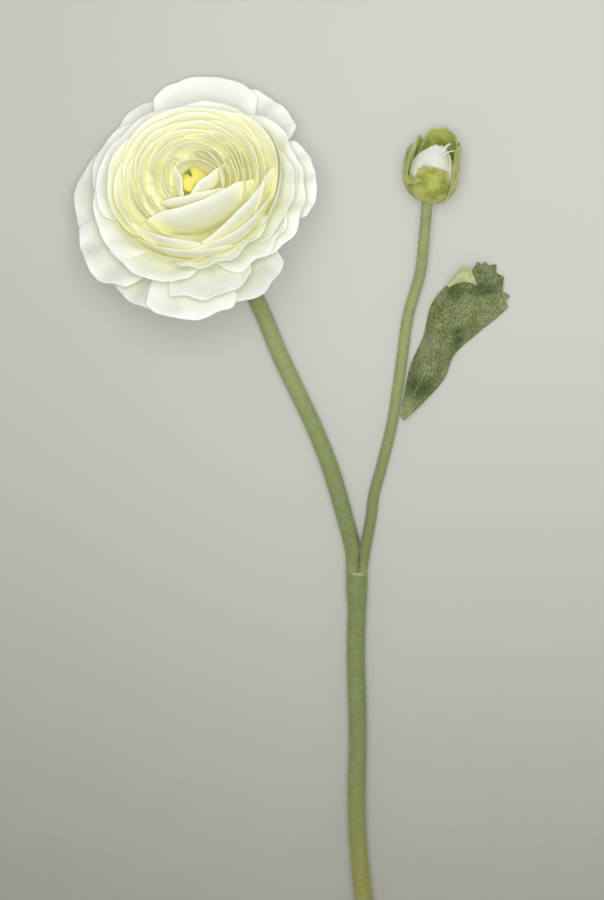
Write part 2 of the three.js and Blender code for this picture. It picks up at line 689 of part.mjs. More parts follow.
const spray = new THREE.Group();
spray.name = "ranunculus_spray";
spray.add(makePiece("main_stem", flattened(mainStem(), spray), 0x7d8c5a, 0.85));
spray.add(makePiece("bloom_stem", flattened(bloomStem(), spray), 0x8c9b5f, 0.85));
spray.add(makePiece("bud_stem", flattened(budStem(), spray), 0x95a45f, 0.85));
spray.add(makePiece("leaf", leaf(), 0x697d50, 0.8));
spray.add(bloomHead());
spray.add(budHead());

export default spray;
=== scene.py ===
"""A cut ranunculus spray that lies flat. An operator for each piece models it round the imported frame."""

import math

import bmesh
import bpy
from bpy.props import FloatProperty, FloatVectorProperty, IntProperty, PointerProperty
from mathutils import Matrix, Vector, noise


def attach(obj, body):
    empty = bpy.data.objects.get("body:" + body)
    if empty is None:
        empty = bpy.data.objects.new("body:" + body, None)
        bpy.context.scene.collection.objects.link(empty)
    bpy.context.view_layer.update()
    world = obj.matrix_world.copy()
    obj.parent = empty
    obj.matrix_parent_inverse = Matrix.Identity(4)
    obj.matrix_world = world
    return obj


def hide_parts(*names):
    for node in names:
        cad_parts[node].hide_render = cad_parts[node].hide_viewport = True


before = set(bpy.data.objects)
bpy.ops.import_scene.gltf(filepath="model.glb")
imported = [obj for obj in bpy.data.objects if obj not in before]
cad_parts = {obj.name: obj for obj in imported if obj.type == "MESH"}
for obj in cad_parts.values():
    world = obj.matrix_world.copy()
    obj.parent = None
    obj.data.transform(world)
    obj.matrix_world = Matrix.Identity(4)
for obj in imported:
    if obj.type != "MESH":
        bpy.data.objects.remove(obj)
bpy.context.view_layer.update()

bl_info = {
    "name": "Ranunculus Spray",
    "version": (1, 0, 0),
    "blender": (4, 5, 0),
    "location": "View3D > Sidebar > Ranunculus",
    "description": "Models a cut ranunculus spray with an open bloom, a bud and a leaf",
    "category": "Add Mesh",
}

# Heads, routes and outlines are drawn in millimetres, and this takes them to metres.
MM = 0.001
UP = Vector((0, 0, 1))
GOLDEN_ANGLE = 137.5
FORK_Y = -16.6
COLLAR_LENGTH = 6.0
FOOT_LENGTH = 14.0
STEM_RINGS = 110
TONE = "tone"
# The direction, from +X, of the side of the bloom that is nearest to a viewer above
NEAR_SIDE = math.radians(292)
# The first seed of each group of petals or sepals
SEEDS = dict(white=1, spiral=41, sides=94, heart=104, near=114, eye=131, calyx=151)
SEEDS.update(bud=171, bud_sepals=191, bud_tips=211)
EYE_FOLDS = 5
CALYX_SEPALS = 5
BUD_PETALS = 7

# Where the stems run: x, y and, where a stem doesn't lie on the surface, z of its middle
MAIN_ROUTE = [
    (29.8, -167.2), (25.8, -136.9), (23.7, -115.1), (23.2, -96), (23.6, -75), (22.9, -46), (23.3, -28),
    (23.2, FORK_Y - COLLAR_LENGTH), (23.3, FORK_Y),
]
BLOOM_ROUTE = [
    (21.5, FORK_Y - 0.6, 3.9), (21.7, -7, 3.2), (19.1, 3.7), (13.7, 22.2), (7.9, 37), (-4.8, 64),
    (-11.8, 80.7), (-18.5, 94),
]
BUD_ROUTE = [
    (25.4, FORK_Y - 0.6, 3.9), (26.4, -7, 2.9), (28.4, 3.7), (29.6, 13), (32.2, 22.6), (36.3, 39.4),
    (39.5, 59.9), (42.2, 79, 3.2), (46.7, 95, 4.2), (48.1, 107.5, 6),
]
# The insets that shape the main stem's ends, in metres: each a width and a depth
COLLAR_LIP = [(0.0002, 0.0003), (0.0004, -0.0001), (0.0003, -0.001)]
CUT_FACE = [(0.0002, 0.0), (0.0006, -0.0002), (0.0012, -0.0006)]
# How far the pith reaches from the middle of the cut end, in metres
PITH_REACH = 0.0036


def at(azimuth, radius, height, half, **own):
    """A petal by its azimuth, its tip's radius and height, its half width and what sets it apart."""
    return dict(azimuth=azimuth, tip=(radius, height), half=half, **own)


# The white petals from the back to the front. Each has a value that paints shade on it, lower where the petal
# is more shaded, which also brings it nearer its root's colour.
WHITE_PETALS = [
    at(121, 46.5, 5.5, 23, shade_and_tint=0.3),
    at(172, 48, 4.5, 25, ruffle=0.5, shade_and_tint=0.15),
    at(243, 48, 4, 17, ruffle=0.6, shade_and_tint=0.15),
    at(57, 47.8, 5.5, 17, ruffle=0.9, shade_and_tint=0.38),
    at(9, 44.2, 7, 20, ruffle=0.6, waves=4, shade_and_tint=0.4),
    at(298, 46, 5.5, 20, ruffle=0.5, shade_and_tint=0.2),
    at(89, 48.3, 8.5, 25),
    at(150, 43.5, 8, 24, shade_and_tint=0.34),
    at(213, 49.5, 7, 21, ruffle=0.5, shade_and_tint=0.26),
    at(267, 51, 8, 21, ruffle=0.9),
    at(350, 41, 10.5, 26, ruffle=1.0, waves=4),
    at(196, 40, 12, 24),
    at(279, 44.5, 12, 20, ruffle=0.5),
    at(322, 38, 12.5, 24, ruffle=1.2, waves=4),
    at(130, 37, 14.5, 24),
    at(28, 38.5, 13.5, 24, ruffle=0.5),
    at(240, 40, 14, 22),
    at(296, 35, 18, 24, tip_lean=46, ruffle=1.0, waves=4),
    at(352, 37, 16, 24, ruffle=0.6),
    at(165, 38.5, 15.5, 24),
    at(82, 33.5, 18.5, 24, tip_lean=46),
]

# The rosette's spiral has no petal inside this ring. On its near side other petals take its place: a spiral
# petal is left out where its cosine from the near side is past a limit, which is looser on the outer rings.
SPIRAL_FROM = 9
OUTER_RINGS_FROM = 23
NEAR_LIMIT, OUTER_NEAR_LIMIT = -0.15, 0.35
# The small petals round the bloom's middle, which close to a three-sided opening, and where they start
HEART_ROOT = (5, 8.6)
HEART_PETALS = [
    at(196, 3.6, 24.6, 5.4, tip_lean=-50, flatten=1),
    at(318, 3.6, 24.8, 6.4, tip_lean=-50, flatten=1),
    at(84, 6.4, 25.4, 7.5, tip_lean=-10, flatten=0.6),
    at(280, 7.8, 25.4, 9, root_lean=30, tip_lean=-40, flatten=0.5),
    at(146, 8.6, 26.4, 4.4, tip_lean=-10, point=0.4, skew=10),
]
# The petals at the middle's two sides, whose rims show as crescents, by the ring that they stand on
SIDE_PETALS = [
    at(196, 10.6, 25.2, 5.6, point=0.4),
    at(174, 14.4, 27.4, 8.5, point=0.4),
    at(208, 17.8, 25, 6, point=0.5),
    at(206, 22.4, 24.6, 10, point=0.3),
    at(60, 10, 26.4, 8),
    at(30, 12.6, 26.4, 8),
    at(18, 15.2, 26.2, 8, point=0.4),
    at(28, 18, 26.4, 11.5, point=0.2),
    at(12, 21.2, 25.4, 11, point=0.3),
    at(22, 24.6, 25.2, 15),
]
# The broad petal in front of the middle and those that wrap the rosette below it
NEAR_PETALS = [
    at(291, 12, 27, 15.2, root=(6, 6.9), tip_lean=-42, flatten=0.35, bulge=0.68, shade_and_tint=0.4),
    at(320, 23.4, 24.4, 22, root=(6.4, 6.6), tip_lean=-34, bulge=0.6, twist=-1, flatten=0.25),
    at(250, 25.6, 23, 19, root=(6.6, 6.2), tip_lean=-26, bulge=0.6, twist=0.5),
    at(1, 32.6, 22.3, 27, root=(6.8, 6), tip_lean=-6, bulge=0.5, twist=-1),
    at(304, 27.4, 22, 25, root=(7, 5.6), tip_lean=-24, bulge=0.5, twist=-1),
    at(262, 28.6, 21, 22, root=(7.2, 5.4), tip_lean=-16, bulge=0.5, twist=0.5),
    at(232, 32, 19.5, 26, root=(7.6, 5.0), tip_lean=4, twist=1.0),
]
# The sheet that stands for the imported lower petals: its radius and height, from its inner to its outer margin
CROWD_PROFILE = [(4.6, 14), (9, 17), (14, 20), (20, 20.5), (26, 18), (30, 15), (33.5, 11)]

# The bud's sepals. Azimuth 0 is the bud's left side, 90 its upper side and 180 its right side.
BUD_SEPALS = [
    at(179, 8.8, 23.6, 7.6, tip_lean=-8, bulge=0.42, full=0.7, belly=-0.4, shade_and_tint=0.62),
    at(90, 9.4, 15, 7, tip_lean=4, bulge=0.47, full=0.5, skew=20, belly=0.7),
    at(40, 12.2, 7, 6.5, root_lean=85, tip_lean=160, bulge=0.75, full=0.4, shade_and_tint=0.2),
    at(5, 10, 21, 4.5, tip_lean=-25, bulge=0.42, shade_and_tint=0.8),
    at(338, 8.4, 24, 6, tip_lean=-8, full=0.3),
    at(250, 4.6, 28.2, 7, tip_lean=-34, full=0.4),
]
# The small curled tips of the bud's white petals
BUD_TIPS = [
    at(143, 6.3, 24, 0.9, root=(4.2, 18), tip_lean=60, skew=-26),
    at(160, 7.9, 21.5, 0.9, root=(4.4, 17.6), tip_lean=85, skew=-40),
]

# The leaf's outline from above: both sides from foot to tip, then across its toothed tip
LEAF_LEFT = [
    (39.3, 42.4), (40.9, 50.5), (43.4, 61.5), (48, 71.8), (50.7, 83), (56.2, 90.2), (61, 91.8), (65.2, 92.9),
    (66, 96.4),
]
LEAF_RIGHT = [(40.7, 40.4), (48.3, 47.7), (55.6, 56), (59.4, 65), (67.7, 72.5), (74, 77.5), (79.5, 82.5)]
LEAF_TIP = [
    (66, 96.4), (68, 99.4), (69.2, 98.3), (71, 99.5), (71.9, 98), (74.9, 98.5), (74.9, 95.4), (77.8, 93.8),
    (77.2, 88.4), (80.1, 86.8), (78.6, 84.7), (79.5, 82.5),
]
# The share from the left side to the right one at which the midrib runs
MIDRIB = 0.48
# The leaf's middle surface stays at least this high, and its arch, creases and curls rise from its base.
LEAF_LOWEST, LEAF_BASE = 0.45, 0.75
# The leaf's painted shadows, under its folded strip and in its creases: each a place and its width and height
LEAF_PAINTED_SHADOWS = [(59.4, 88.2, 3, 2.6), (70.6, 88.9, 5.5, 2.6), (60.6, 71.5, 1.9, 4.5), (46, 53, 5, 4.5)]
# The leaf's left side is folded back near the tip, from the fold to the strip's free edge.
FOLD = [(56.6, 90.2), (58.9, 93.4), (61.8, 96.7), (63.4, 97.4), (65.5, 96.2)]
FREE_EDGE = [(57.2, 89.8), (59.8, 91.1), (63.2, 91.8), (66, 91.2), (67.8, 90.3)]

# The linear colours, which become settings
COLOURS = dict(
    # The petals' crevice colours are painted shade and painted light through petals, put where neighbours hide
    # them.
    white=(0.78, 0.805, 0.72), white_root=(0.84, 0.855, 0.68), white_deep=(0.80, 0.82, 0.63),
    cream=(0.735, 0.75, 0.645), cream_root=(0.845, 0.832, 0.46), cream_rim=(0.9, 0.895, 0.78),
    cream_deep=(0.88, 0.865, 0.47),
    eye=(0.85, 0.76, 0.18), eye_dark=(0.16, 0.22, 0.04),
    stem=(0.175, 0.208, 0.070), stem_end=(0.288, 0.334, 0.133), stem_cut=(0.225, 0.218, 0.056),
    # The stem's inner colour is painted shade in the fork, its lip colour a painted highlight and its brown
    # partly painted shade.
    stem_lip=(0.46, 0.5, 0.22), stem_inner=(0.06, 0.085, 0.025), stem_brown=(0.28, 0.22, 0.08),
    stem_patch=(0.19, 0.27, 0.13), stem_hairs=(0.42, 0.48, 0.27),
    pith=(0.52, 0.56, 0.30), pith_patch=(0.42, 0.47, 0.22), pith_hairs=(0.7, 0.72, 0.5),
    # The leaf's hollow colour is painted shadow.
    leaf=(0.15, 0.185, 0.06), leaf_patch=(0.23, 0.27, 0.115), leaf_hollow=(0.045, 0.07, 0.015),
    leaf_vein=(0.30, 0.36, 0.17), leaf_hairs=(0.44, 0.49, 0.28),
    under=(0.43, 0.455, 0.22), under_patch=(0.54, 0.56, 0.29), under_hairs=(0.6, 0.62, 0.4),
    sepal=(0.43, 0.455, 0.105), sepal_dark=(0.24, 0.27, 0.04), sepal_rim=(0.46, 0.50, 0.14),
    sepal_hairs=(0.58, 0.61, 0.26),
    floor=(0.555, 0.555, 0.51), floor_speck=(0.5, 0.5, 0.47),
)
# How far a crevice's neighbours reach for its painted shade and glow, in metres, and the tint of the painted
# glow at a petal's margin
CREVICE_REACH = 0.009
MARGIN_GLOW_TINT = (1.0, 0.98, 0.74)
# The share of the paper's brightness that it gives off itself, as a painted glow that lifts the shade and
# shadows on it
PAPER_PAINTED_GLOW = 0.35
# The share of its colour that the paper keeps at the near edge, where shade is painted on it
NEAR_PAPER_SHADE = (0.355, 0.35, 0.30)


def length_prop(default, text):
    """A length in metres."""
    return FloatProperty(name=text, description=text, default=default, min=0, unit="LENGTH", precision=5)


def angle_prop(degrees, text):
    """An angle, given in degrees."""
    return FloatProperty(name=text, description=text, default=math.radians(degrees), subtype="ANGLE")


def count_prop(default, least, text):
    """A whole number."""
    return IntProperty(name=text, description=text, default=default, min=least)


def place_prop(default, text):
    """A place in the spray's frame, in metres."""
    return FloatVectorProperty(name=text, description=text, default=default, size=3, subtype="TRANSLATION")


def colour_prop(name, default):
    """A linear colour."""
    label = name.replace("_", " ").capitalize()
    return FloatVectorProperty(name=label, default=default, min=0, max=1, size=3, subtype="COLOR")


class StemSizes(bpy.types.PropertyGroup):
    main_radius: length_prop(0.0035, "Main stem's radius")
    cut_end_radius: length_prop(0.0037, "Main stem's radius at its cut end")
    collar_radius: length_prop(0.0041, "Radius of the swollen fork")
    bloom_radius: length_prop(0.0032, "Bloom stem's radius")
    bloom_foot_radius: length_prop(0.0024, "Bloom stem's radius at the fork")
    bud_radius: length_prop(0.0021, "Bud stem's radius")
    bud_foot_radius: length_prop(0.0017, "Bud stem's radius at the fork")
    bend_radius: length_prop(0.014, "Radius of the bend behind the bloom")
    neck_length: length_prop(0.0024, "Length of the straight neck behind the bloom")
    sides: count_prop(28, 8, "Sides of a stem's section")


class BloomSizes(bpy.types.PropertyGroup):
    place: place_prop((-0.0333, 0.1202, 0.0167), "The receptacle's middle")
    tilt: angle_prop(27, "How far the bloom leans from upright")
    bearing: angle_prop(112, "Direction that the bloom leans to, from +X")
    petal_thickness: length_prop(0.00028, "Thickness of a petal")
    sepal_thickness: length_prop(0.0006, "Thickness of a sepal")
    hub_depth: length_prop(0.004, "Depth of the swollen end of the stem")
    spiral_places: count_prop(42, 5, "Places in the rosette's spiral, of which some stay empty")
    rosette_start: length_prop(0.0056, "Radius at the spiral's first place")
    rosette_radius: length_prop(0.033, "Radius at the spiral's last place")


class BudSizes(bpy.types.PropertyGroup):
    place: place_prop((0.0492, 0.121, 0.0081), "The middle of the bud's base")
    rise: angle_prop(10, "How far the bud rises from level")
    bearing: angle_prop(79.5, "Direction that the bud points in, from +X")
    width: FloatProperty(name="Width", description="Width from side to side, by the depth", default=0.94)
    petal_thickness: length_prop(0.0003, "Thickness of a petal")
    sepal_thickness: length_prop(0.00055, "Thickness of a sepal")


class LeafSizes(bpy.types.PropertyGroup):
    thickness: length_prop(0.0006, "Thickness of the leaf")


class SprayColours(bpy.types.PropertyGroup):
    __annotations__ = {name: colour_prop(name, default) for name, default in COLOURS.items()}


# Small mathematics


def clamp(x, low=0.0, high=1.0):
    """x, kept between low and high."""
    return min(max(x, low), high)


def smooth(x, low, high):
    """0 below low, 1 above high, and a soft step between."""
    t = clamp((x - low) / (high - low))
    return t * t * (3 - 2 * t)


def hump(x, middle, width):
    """1 at the middle, and softly down to 0 on both sides."""
    return math.exp(-(((x - middle) / width) ** 2))


def scatter(seed):
    """A repeatable draw between -1 and 1."""
    wave = math.sin(seed * 12.9898) * 43758.5453
    return 2 * (wave - math.floor(wave)) - 1


def noise_at(*place):
    """Smooth noise at a place."""
    return noise.noise(Vector(place))


def rounded(x, y, full):
    """A square grid's point moved to a rounder outline: a disc at 0, still a square at 1."""
    pull = (1 - full) / 2
    return x * math.sqrt(1 - y * y * pull), y * math.sqrt(1 - x * x * pull)


def around(turn, radius, height):
    """A place at an angle round an axis, at a radius from it and a height along it."""
    return Vector((radius * math.cos(turn), radius * math.sin(turn), height))


def nearness(turn):
    """How near a side of the bloom is to a viewer above, from 0 to 1."""
    return 0.5 + 0.5 * math.cos(turn - NEAR_SIDE)


def curve_at(b, c, leave, arrive, t):
    """A place between b and c, on the cubic curve that leaves and arrives in the given directions."""
    return b + leave * t + (3 * (c - b) - 2 * leave - arrive) * t * t + (2 * (b - c) + leave + arrive) * t**3


def catmull(points, steps=24):
    """Close points along the centripetal curve through the given points."""
    ends = [2 * points[0] - points[1], *points, 2 * points[-1] - points[-2]]
    found = []
    for a, b, c, d in zip(ends, ends[1:], ends[2:], ends[3:]):
        before, span, after = ((q - p).length ** 0.5 for p, q in ((a, b), (b, c), (c, d)))
        leave = ((b - a) / before - (c - a) / (before + span) + (c - b) / span) * span
        arrive = ((c - b) / span - (d - b) / (span + after) + (d - c) / after) * span
        found += [curve_at(b, c, leave, arrive, i / steps) for i in range(steps)]
    return [*found, points[-1]]


def step_at(points, share):
    """The step of a list of places that a share of the list falls in, and the share of that step."""
    place = clamp(share) * (len(points) - 1)
    i = min(int(place), len(points) - 2)
    return i, place - i


def polyline_at(points, share):
    """A place at a share of a list of places, in straight steps."""
    i, t = step_at(points, share)
    return Vector(points[i]).lerp(Vector(points[i + 1]), t)


def spline_at(points, share):
    """A place at a share of a list of places, on an even curve through them."""
    i, t = step_at(points, share)
    a, b, c, d = (Vector(points[clamp(j, 0, len(points) - 1)]) for j in (i - 1, i, i + 1, i + 2))
    return curve_at(b, c, (c - a) / 2, (d - b) / 2, t)


class Route:
    """A curve that is read by its share of the length."""

    def __init__(self, points):
        self.points = catmull([Vector(p) for p in points])
        self.lengths = [0.0]
        for a, b in zip(self.points, self.points[1:]):
            self.lengths.append(self.lengths[-1] + (b - a).length)
        self.length = self.lengths[-1]

    def at(self, share):
        """The place at a share of the length."""
        want = clamp(share) * self.length
        i = 1
        while i < len(self.lengths) - 1 and self.lengths[i] < want:
            i += 1
        step = self.lengths[i] - self.lengths[i - 1]
        return self.points[i - 1].lerp(self.points[i], (want - self.lengths[i - 1]) / step)

    def along(self, share, near=0.004):
        """The direction at a share of the length, from a little before it to a little after."""
        return (self.at(share + near) - self.at(share - near)).normalized()


# Modelling helpers


def deselect():
    """Leaves nothing selected."""
    bpy.ops.object.select_all(action="DESELECT")


def only(piece):
    """Makes piece the one selected and active object."""
    deselect()
    piece.select_set(True)
    bpy.context.view_layer.objects.active = piece


def copied(piece):
    """A copy of piece with its own mesh."""
    twin = piece.copy()
    twin.data = piece.data.copy()
    bpy.context.scene.collection.objects.link(twin)
    return twin


def joined(pieces):
    """Several objects as one."""
    only(pieces[0])
    for piece in pieces:
        piece.select_set(True)
    bpy.ops.object.join()
    return bpy.context.view_layer.objects.active


def modified(piece, kind, **settings):
    """Adds a modifier and applies it."""
    only(piece)
    modifier = piece.modifiers.new(kind.title(), kind)
    for name, value in settings.items():
        setattr(modifier, name, value)
    bpy.ops.object.modifier_apply(modifier=modifier.name)


def rounder(piece):
    """Subdivides a piece once, smoothly."""
    modified(piece, "SUBSURF", levels=1, render_levels=1)


def thickened(piece, thickness, finer=True, **settings):
    """Gives a sheet its thickness, rounds it if it is to be finer, and shades it smoothly."""
    modified(piece, "SOLIDIFY", thickness=thickness, offset=0.0, use_even_offset=False, **settings)
    if finer:
        rounder(piece)
    only(piece)
    bpy.ops.object.shade_smooth()
    return piece


def edges_kept(piece, degrees):
    """Shades a piece smoothly, except at edges that are sharper than an angle."""
    only(piece)
    bpy.ops.object.shade_smooth_by_angle(angle=math.radians(degrees))


def flat_blade(columns, rows):
    """A flat square grid from -1 to 1, which petals and leaves are shaped from."""
    deselect()
    bpy.ops.mesh.primitive_grid_add(x_subdivisions=columns, y_subdivisions=rows, size=2)
    return bpy.context.active_object


def ringed_rod(sides, rings):
    """A rod of radius 1 from z -0.5 to 0.5, cut into rings."""
    deselect()
    bpy.ops.mesh.primitive_cylinder_add(vertices=sides, radius=1, depth=1, end_fill_type="NGON")
    rod = bpy.context.active_object
    bpy.ops.object.mode_set(mode="EDIT")
    bpy.ops.mesh.select_mode(type="EDGE")
    bpy.ops.mesh.select_all(action="DESELECT")
    mesh = bmesh.from_edit_mesh(rod.data)
    for edge in mesh.edges:
        a, b = edge.verts
        edge.select = abs(a.co.z - b.co.z) > 0.5
    bmesh.update_edit_mesh(rod.data)
    bpy.ops.mesh.subdivide(number_cuts=rings - 1)
    bpy.ops.object.mode_set(mode="OBJECT")
    return rod


def sculpted(piece, place_at, matrix=None):
    """Moves every vertex to the place that place_at gives for it, and keeps the tone that comes with it."""
    tones = piece.data.attributes.new(TONE, "FLOAT_COLOR", "POINT")
    for vertex, tone in zip(piece.data.vertices, tones.data):
        place, tone.color = place_at(vertex.co)
        vertex.co = matrix @ place if matrix else place
    return piece


def finished(piece, node, slot, *materials):
    """Gives a piece its materials, its body and the node that it stands for. The slot is not used."""
    piece.name = piece.data.name = node + "_look"
    for material in materials:
        piece.data.materials.append(material)
    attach(piece, "root")
    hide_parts(node)


class Modeller:
    """What the operators share: each models its piece in build, from the scene's settings."""

    def execute(self, context):
        self.build(context.scene)
        return {"FINISHED"}


# Petals


def ray(lean):
    """A direction in the (radius, height) half plane, measured from the head's axis."""
    return Vector((math.sin(math.radians(lean)), math.cos(math.radians(lean))))


def petal(
    azimuth, root, tip, root_lean, tip_lean, half, belly=0.3, ruffle=0.0, waves=3, phase=0.0, twist=0.0,
    flatten=0.0, full=0.0, incurve=0.0, bulge=0.38, point=0.0, skew=0.0, frill=0.0, margin=0.02, shade_and_tint=0.5,
    seed=0,
):
    """A function from the flat blade to a petal, in millimetres, with its tone.

    The petal keeps to the bowl that its midrib would sweep round the head's axis. Its belly widens it at its
    root, its point narrows it towards its tip, and full makes its outline squarer. Its ruffle waves it
    across, its frill crumples the margin finely, and its margin makes the outline uneven. Its twist lifts one
    side, its flatten opens the bowl at both sides, its incurve bends it towards the head's axis on the near
    side, in degrees, its bulge rounds its profile, and its skew shifts its root round the axis, in degrees.
    The tone holds the share from root to tip, the value that paints shade and tint on it, the nearness to the
    margin and a draw of its own.
    """
    start, end = Vector(root), Vector(tip)
    reach = (end - start).length * bulge
    a, b, d = start, start + ray(root_lean) * reach, end
    widest = max(tip[0], root[0], half * 0.7)
    draw = 0.5 + 0.5 * scatter(seed + 7.3)

    def place_at(flat):
        u, v = clamp(flat.x, -1, 1), clamp(flat.y, -1, 1)
        edge = 1 - (1 - u * u) * (1 - v * v)
        x, y = rounded(u, v, full)
        uneven = noise_at(1.7 * x, 1.7 * y, seed * 3.1) + 0.4 * noise_at(6 * x, 6 * y, seed * 5.7)
        grown = 1 + margin * uneven * smooth(edge, 0.2, 1.0)
        x, y = x * grown, y * grown
        t = (y + 1) / 2
        s = 1 - t
        angle = x * half / widest * (1 + belly * (1 - t)) * (1 - point * smooth(t, 0.4, 1))
        turn = math.radians(azimuth + skew * (1 - t)) + angle
        near = nearness(turn)
        c = end - ray(tip_lean - incurve * near * near) * reach
        rib = a * s**3 + b * (3 * s * s * t) + c * (3 * s * t * t) + d * t**3
        run = ((b - a) * (s * s) + (c - b) * (2 * s * t) + (d - c) * (t * t)).normalized()
        wave = ruffle * math.sin(waves * math.pi * x + phase) * smooth(y, -0.4, 1)
        crumple = noise_at(3.2 * x, 2.2 * y, seed * 2.3) * smooth(edge, 0.1, 1.0)
        wave += frill * (crumple + 0.45 * noise_at(8 * x, 3 * y, seed * 4.9) * smooth(edge, 0.5, 1.0))
        lift = twist * x * (rib.x - root[0]) / widest + wave
        radius = rib.x - run.y * lift + flatten * rib.x * angle * angle * 0.5
        return around(turn, radius, rib.y + run.x * lift), (t, shade_and_tint, min(edge, 1.0), draw)

    return place_at


def petals(shapes, columns, rows, matrix, thickness):
    """One object of all the petals that the shapes describe."""
    blade = flat_blade(columns, rows)
    sheets = [sculpted(copied(blade), petal(**shape), matrix) for shape in shapes]
    bpy.data.objects.remove(blade)
    return thickened(joined(sheets), thickness)


def family(name, common, rows):
    """A group of petals: what they share, what sets each apart, and each one's phase and seed."""
    return [{**common, "phase": i, "seed": SEEDS[name] + i, **own} for i, own in enumerate(rows)]


def turned(profile, sides, matrix, tone=(0.5, 0.5, 0.5, 0.5)):
    """A solid turned round the head's axis, from (radius, height) points in millimetres."""
    rod = ringed_rod(sides, len(profile) - 1)

    def place_at(flat):
        radius, height = profile[round((flat.z + 0.5) * (len(profile) - 1))]
        return Vector((flat.x * radius, flat.y * radius, height)), tone

    return sculpted(rod, place_at, matrix)


def bloom_frame(bloom):
    """From the bloom's own millimetres, in which +Z is the way it faces, to metres."""
    hinge = Vector((-math.sin(bloom.bearing), math.cos(bloom.bearing), 0))
    return Matrix.Translation(bloom.place) @ Matrix.Rotation(bloom.tilt, 4, hinge) @ Matrix.Scale(MM, 4)


def bud_frame(bud):
    """From the bud's own millimetres to metres: +Z is the way it points, and azimuth 90 faces up."""
    heading, rise = bud.bearing, bud.rise
    left = Vector((-math.sin(heading), math.cos(heading), 0))
    axis = Vector((math.cos(rise) * math.cos(heading), math.cos(rise) * math.sin(heading), math.sin(rise)))
    turn = Matrix((left, axis.cross(left), axis)).transposed().to_4x4()
    return Matrix.Translation(bud.place) @ turn @ Matrix.Scale(MM, 4)


def white_shapes():
    """The white petals, two flat layers and then a shallow cup of ruffled ones."""
    rows = []
    for i, own in enumerate(WHITE_PETALS):
        front = i / (len(WHITE_PETALS) - 1)
        root = (5.2 - 0.4 * front, 0.6 + 1.8 * front)
        leans = dict(root_lean=93 - 9 * front, tip_lean=84 - 30 * smooth(front, 0.35, 0.8))
        rows.append({**leans, "root": root, **own})
    return family("white", dict(twist=1.2, belly=0.4, full=0.45, frill=1.6, margin=0.07), rows)


def rosette_shapes(bloom):
    """The rosette: an opening spiral, and the petals in its middle, at its sides and on its near side."""
    first, last = bloom.rosette_start / MM, bloom.rosette_radius / MM
    common = dict(full=0.3, margin=0.03, belly=0.1, twist=0.4, frill=0.3, shade_and_tint=0.85)

    def nested(ring):
        """What keeps a petal, whose tip stands on a ring, nested in those round it."""
        grown = (ring - first) / (last - first)
        return dict(
            root=(5.2 + 3 * grown, 8.6 - 4.4 * grown),
            root_lean=4 + 80 * smooth(grown, -0.15, 0.8),
            tip_lean=-18 + 58 * smooth(grown, 0, 1.05),
            incurve=40,
        )

    shapes = []
    for i in range(bloom.spiral_places):
        grown = (i / (bloom.spiral_places - 1)) ** 0.85
        ring = first + (last - first) * grown + 0.3 * scatter(i + 1)
        height = 23.5 + 4.5 * smooth(ring, 4, 14) - 6.5 * smooth(ring, 16, 35) + 0.5 * scatter(i + 51)
        azimuth = 70 + i * GOLDEN_ANGLE + 8 * scatter(i + 101)
        near = math.cos(math.radians(azimuth) - NEAR_SIDE)
        if ring < SPIRAL_FROM or near > (NEAR_LIMIT if ring < OUTER_RINGS_FROM else OUTER_NEAR_LIMIT):
            continue
        own = dict(
            azimuth=azimuth,
            tip=(ring, height),
            half=ring * (1.15 - 0.3 * grown),
            twist=0.5 + 0.3 * scatter(i + 151),
            ruffle=0.3 * grown,
            phase=3 * scatter(i + 201),
            frill=0.25 + 0.5 * grown,
            shade_and_tint=0.5,
            seed=SEEDS["spiral"] + i,
        )
        shapes.append({**common, **nested(ring), **own})
    shapes += family("sides", common, [{**nested(own["tip"][0]), **own} for own in SIDE_PETALS])
    shapes += family("heart", dict(common, root=HEART_ROOT, root_lean=0, bulge=0.6), HEART_PETALS)
    shapes += family("near", dict(common, root_lean=84, shade_and_tint=0.33), NEAR_PETALS)
    return shapes


class RANUNCULUS_OT_outer_petals(Modeller, bpy.types.Operator):
    """Models the white outer petals and the disc that they grow from."""

    bl_idname = "ranunculus.outer_petals"
    bl_label = "Outer petals"

    def build(self, scene):
        bloom = scene.ranunculus_bloom
        matrix = bloom_frame(bloom)
        sheets = petals(white_shapes(), 20, 20, matrix, bloom.petal_thickness)
        # The disc's tone paints it shaded and of the root's colour.
        disc = turned([(7, 0.2), (7.6, 0.7), (7.6, 2.4), (7, 2.9)], 32, matrix, (0.1, 0.2, 0, 0.5))
        material = white_petal_material(scene.ranunculus_colours)
        finished(joined([sheets, disc]), "bloom_outer_petals", "white_petal", material)


class RANUNCULUS_OT_inner_petals(Modeller, bpy.types.Operator):
    """Models the dense cream rosette."""

    bl_idname = "ranunculus.inner_petals"
    bl_label = "Inner petals"

    def build(self, scene):
        bloom = scene.ranunculus_bloom
        matrix = bloom_frame(bloom)
        sheets = petals(rosette_shapes(bloom), 18, 12, matrix, bloom.petal_thickness)
        cone = turned([(8.4, 3.4), (9, 3.8), (8.8, 4.6), (6.2, 8.9), (5.4, 9.2)], 32, matrix, (0, 1, 0, 0.5))
        crowd = self.crowd(bloom, matrix)
        material = cream_petal_material(scene.ranunculus_colours)
        finished(joined([sheets, cone, crowd]), "bloom_inner_petals", "cream_petal", material)

    def crowd(self, bloom, matrix):
        """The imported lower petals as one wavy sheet, which closes the gaps between the rims."""

        def place_at(flat):
            share = (flat.y + 1) / 2
            turn = math.pi * flat.x
            radius, height = polyline_at(CROWD_PROFILE, share)
            wave = 0.5 * math.sin(9 * turn + 14 * share) + 0.6 * noise_at(turn, share * 4, 2.2)
            return around(turn, radius, height - 12 * nearness(turn) ** 2 + wave), (0.72, 0.5, 0, 0.5)

        sheet = sculpted(flat_blade(96, 20), place_at, matrix)
        only(sheet)
        bpy.ops.object.mode_set(mode="EDIT")
        bpy.ops.mesh.select_all(action="SELECT")
        bpy.ops.mesh.remove_doubles(threshold=0.00001)
        bpy.ops.object.mode_set(mode="OBJECT")
        return thickened(sheet, bloom.petal_thickness, finer=False)


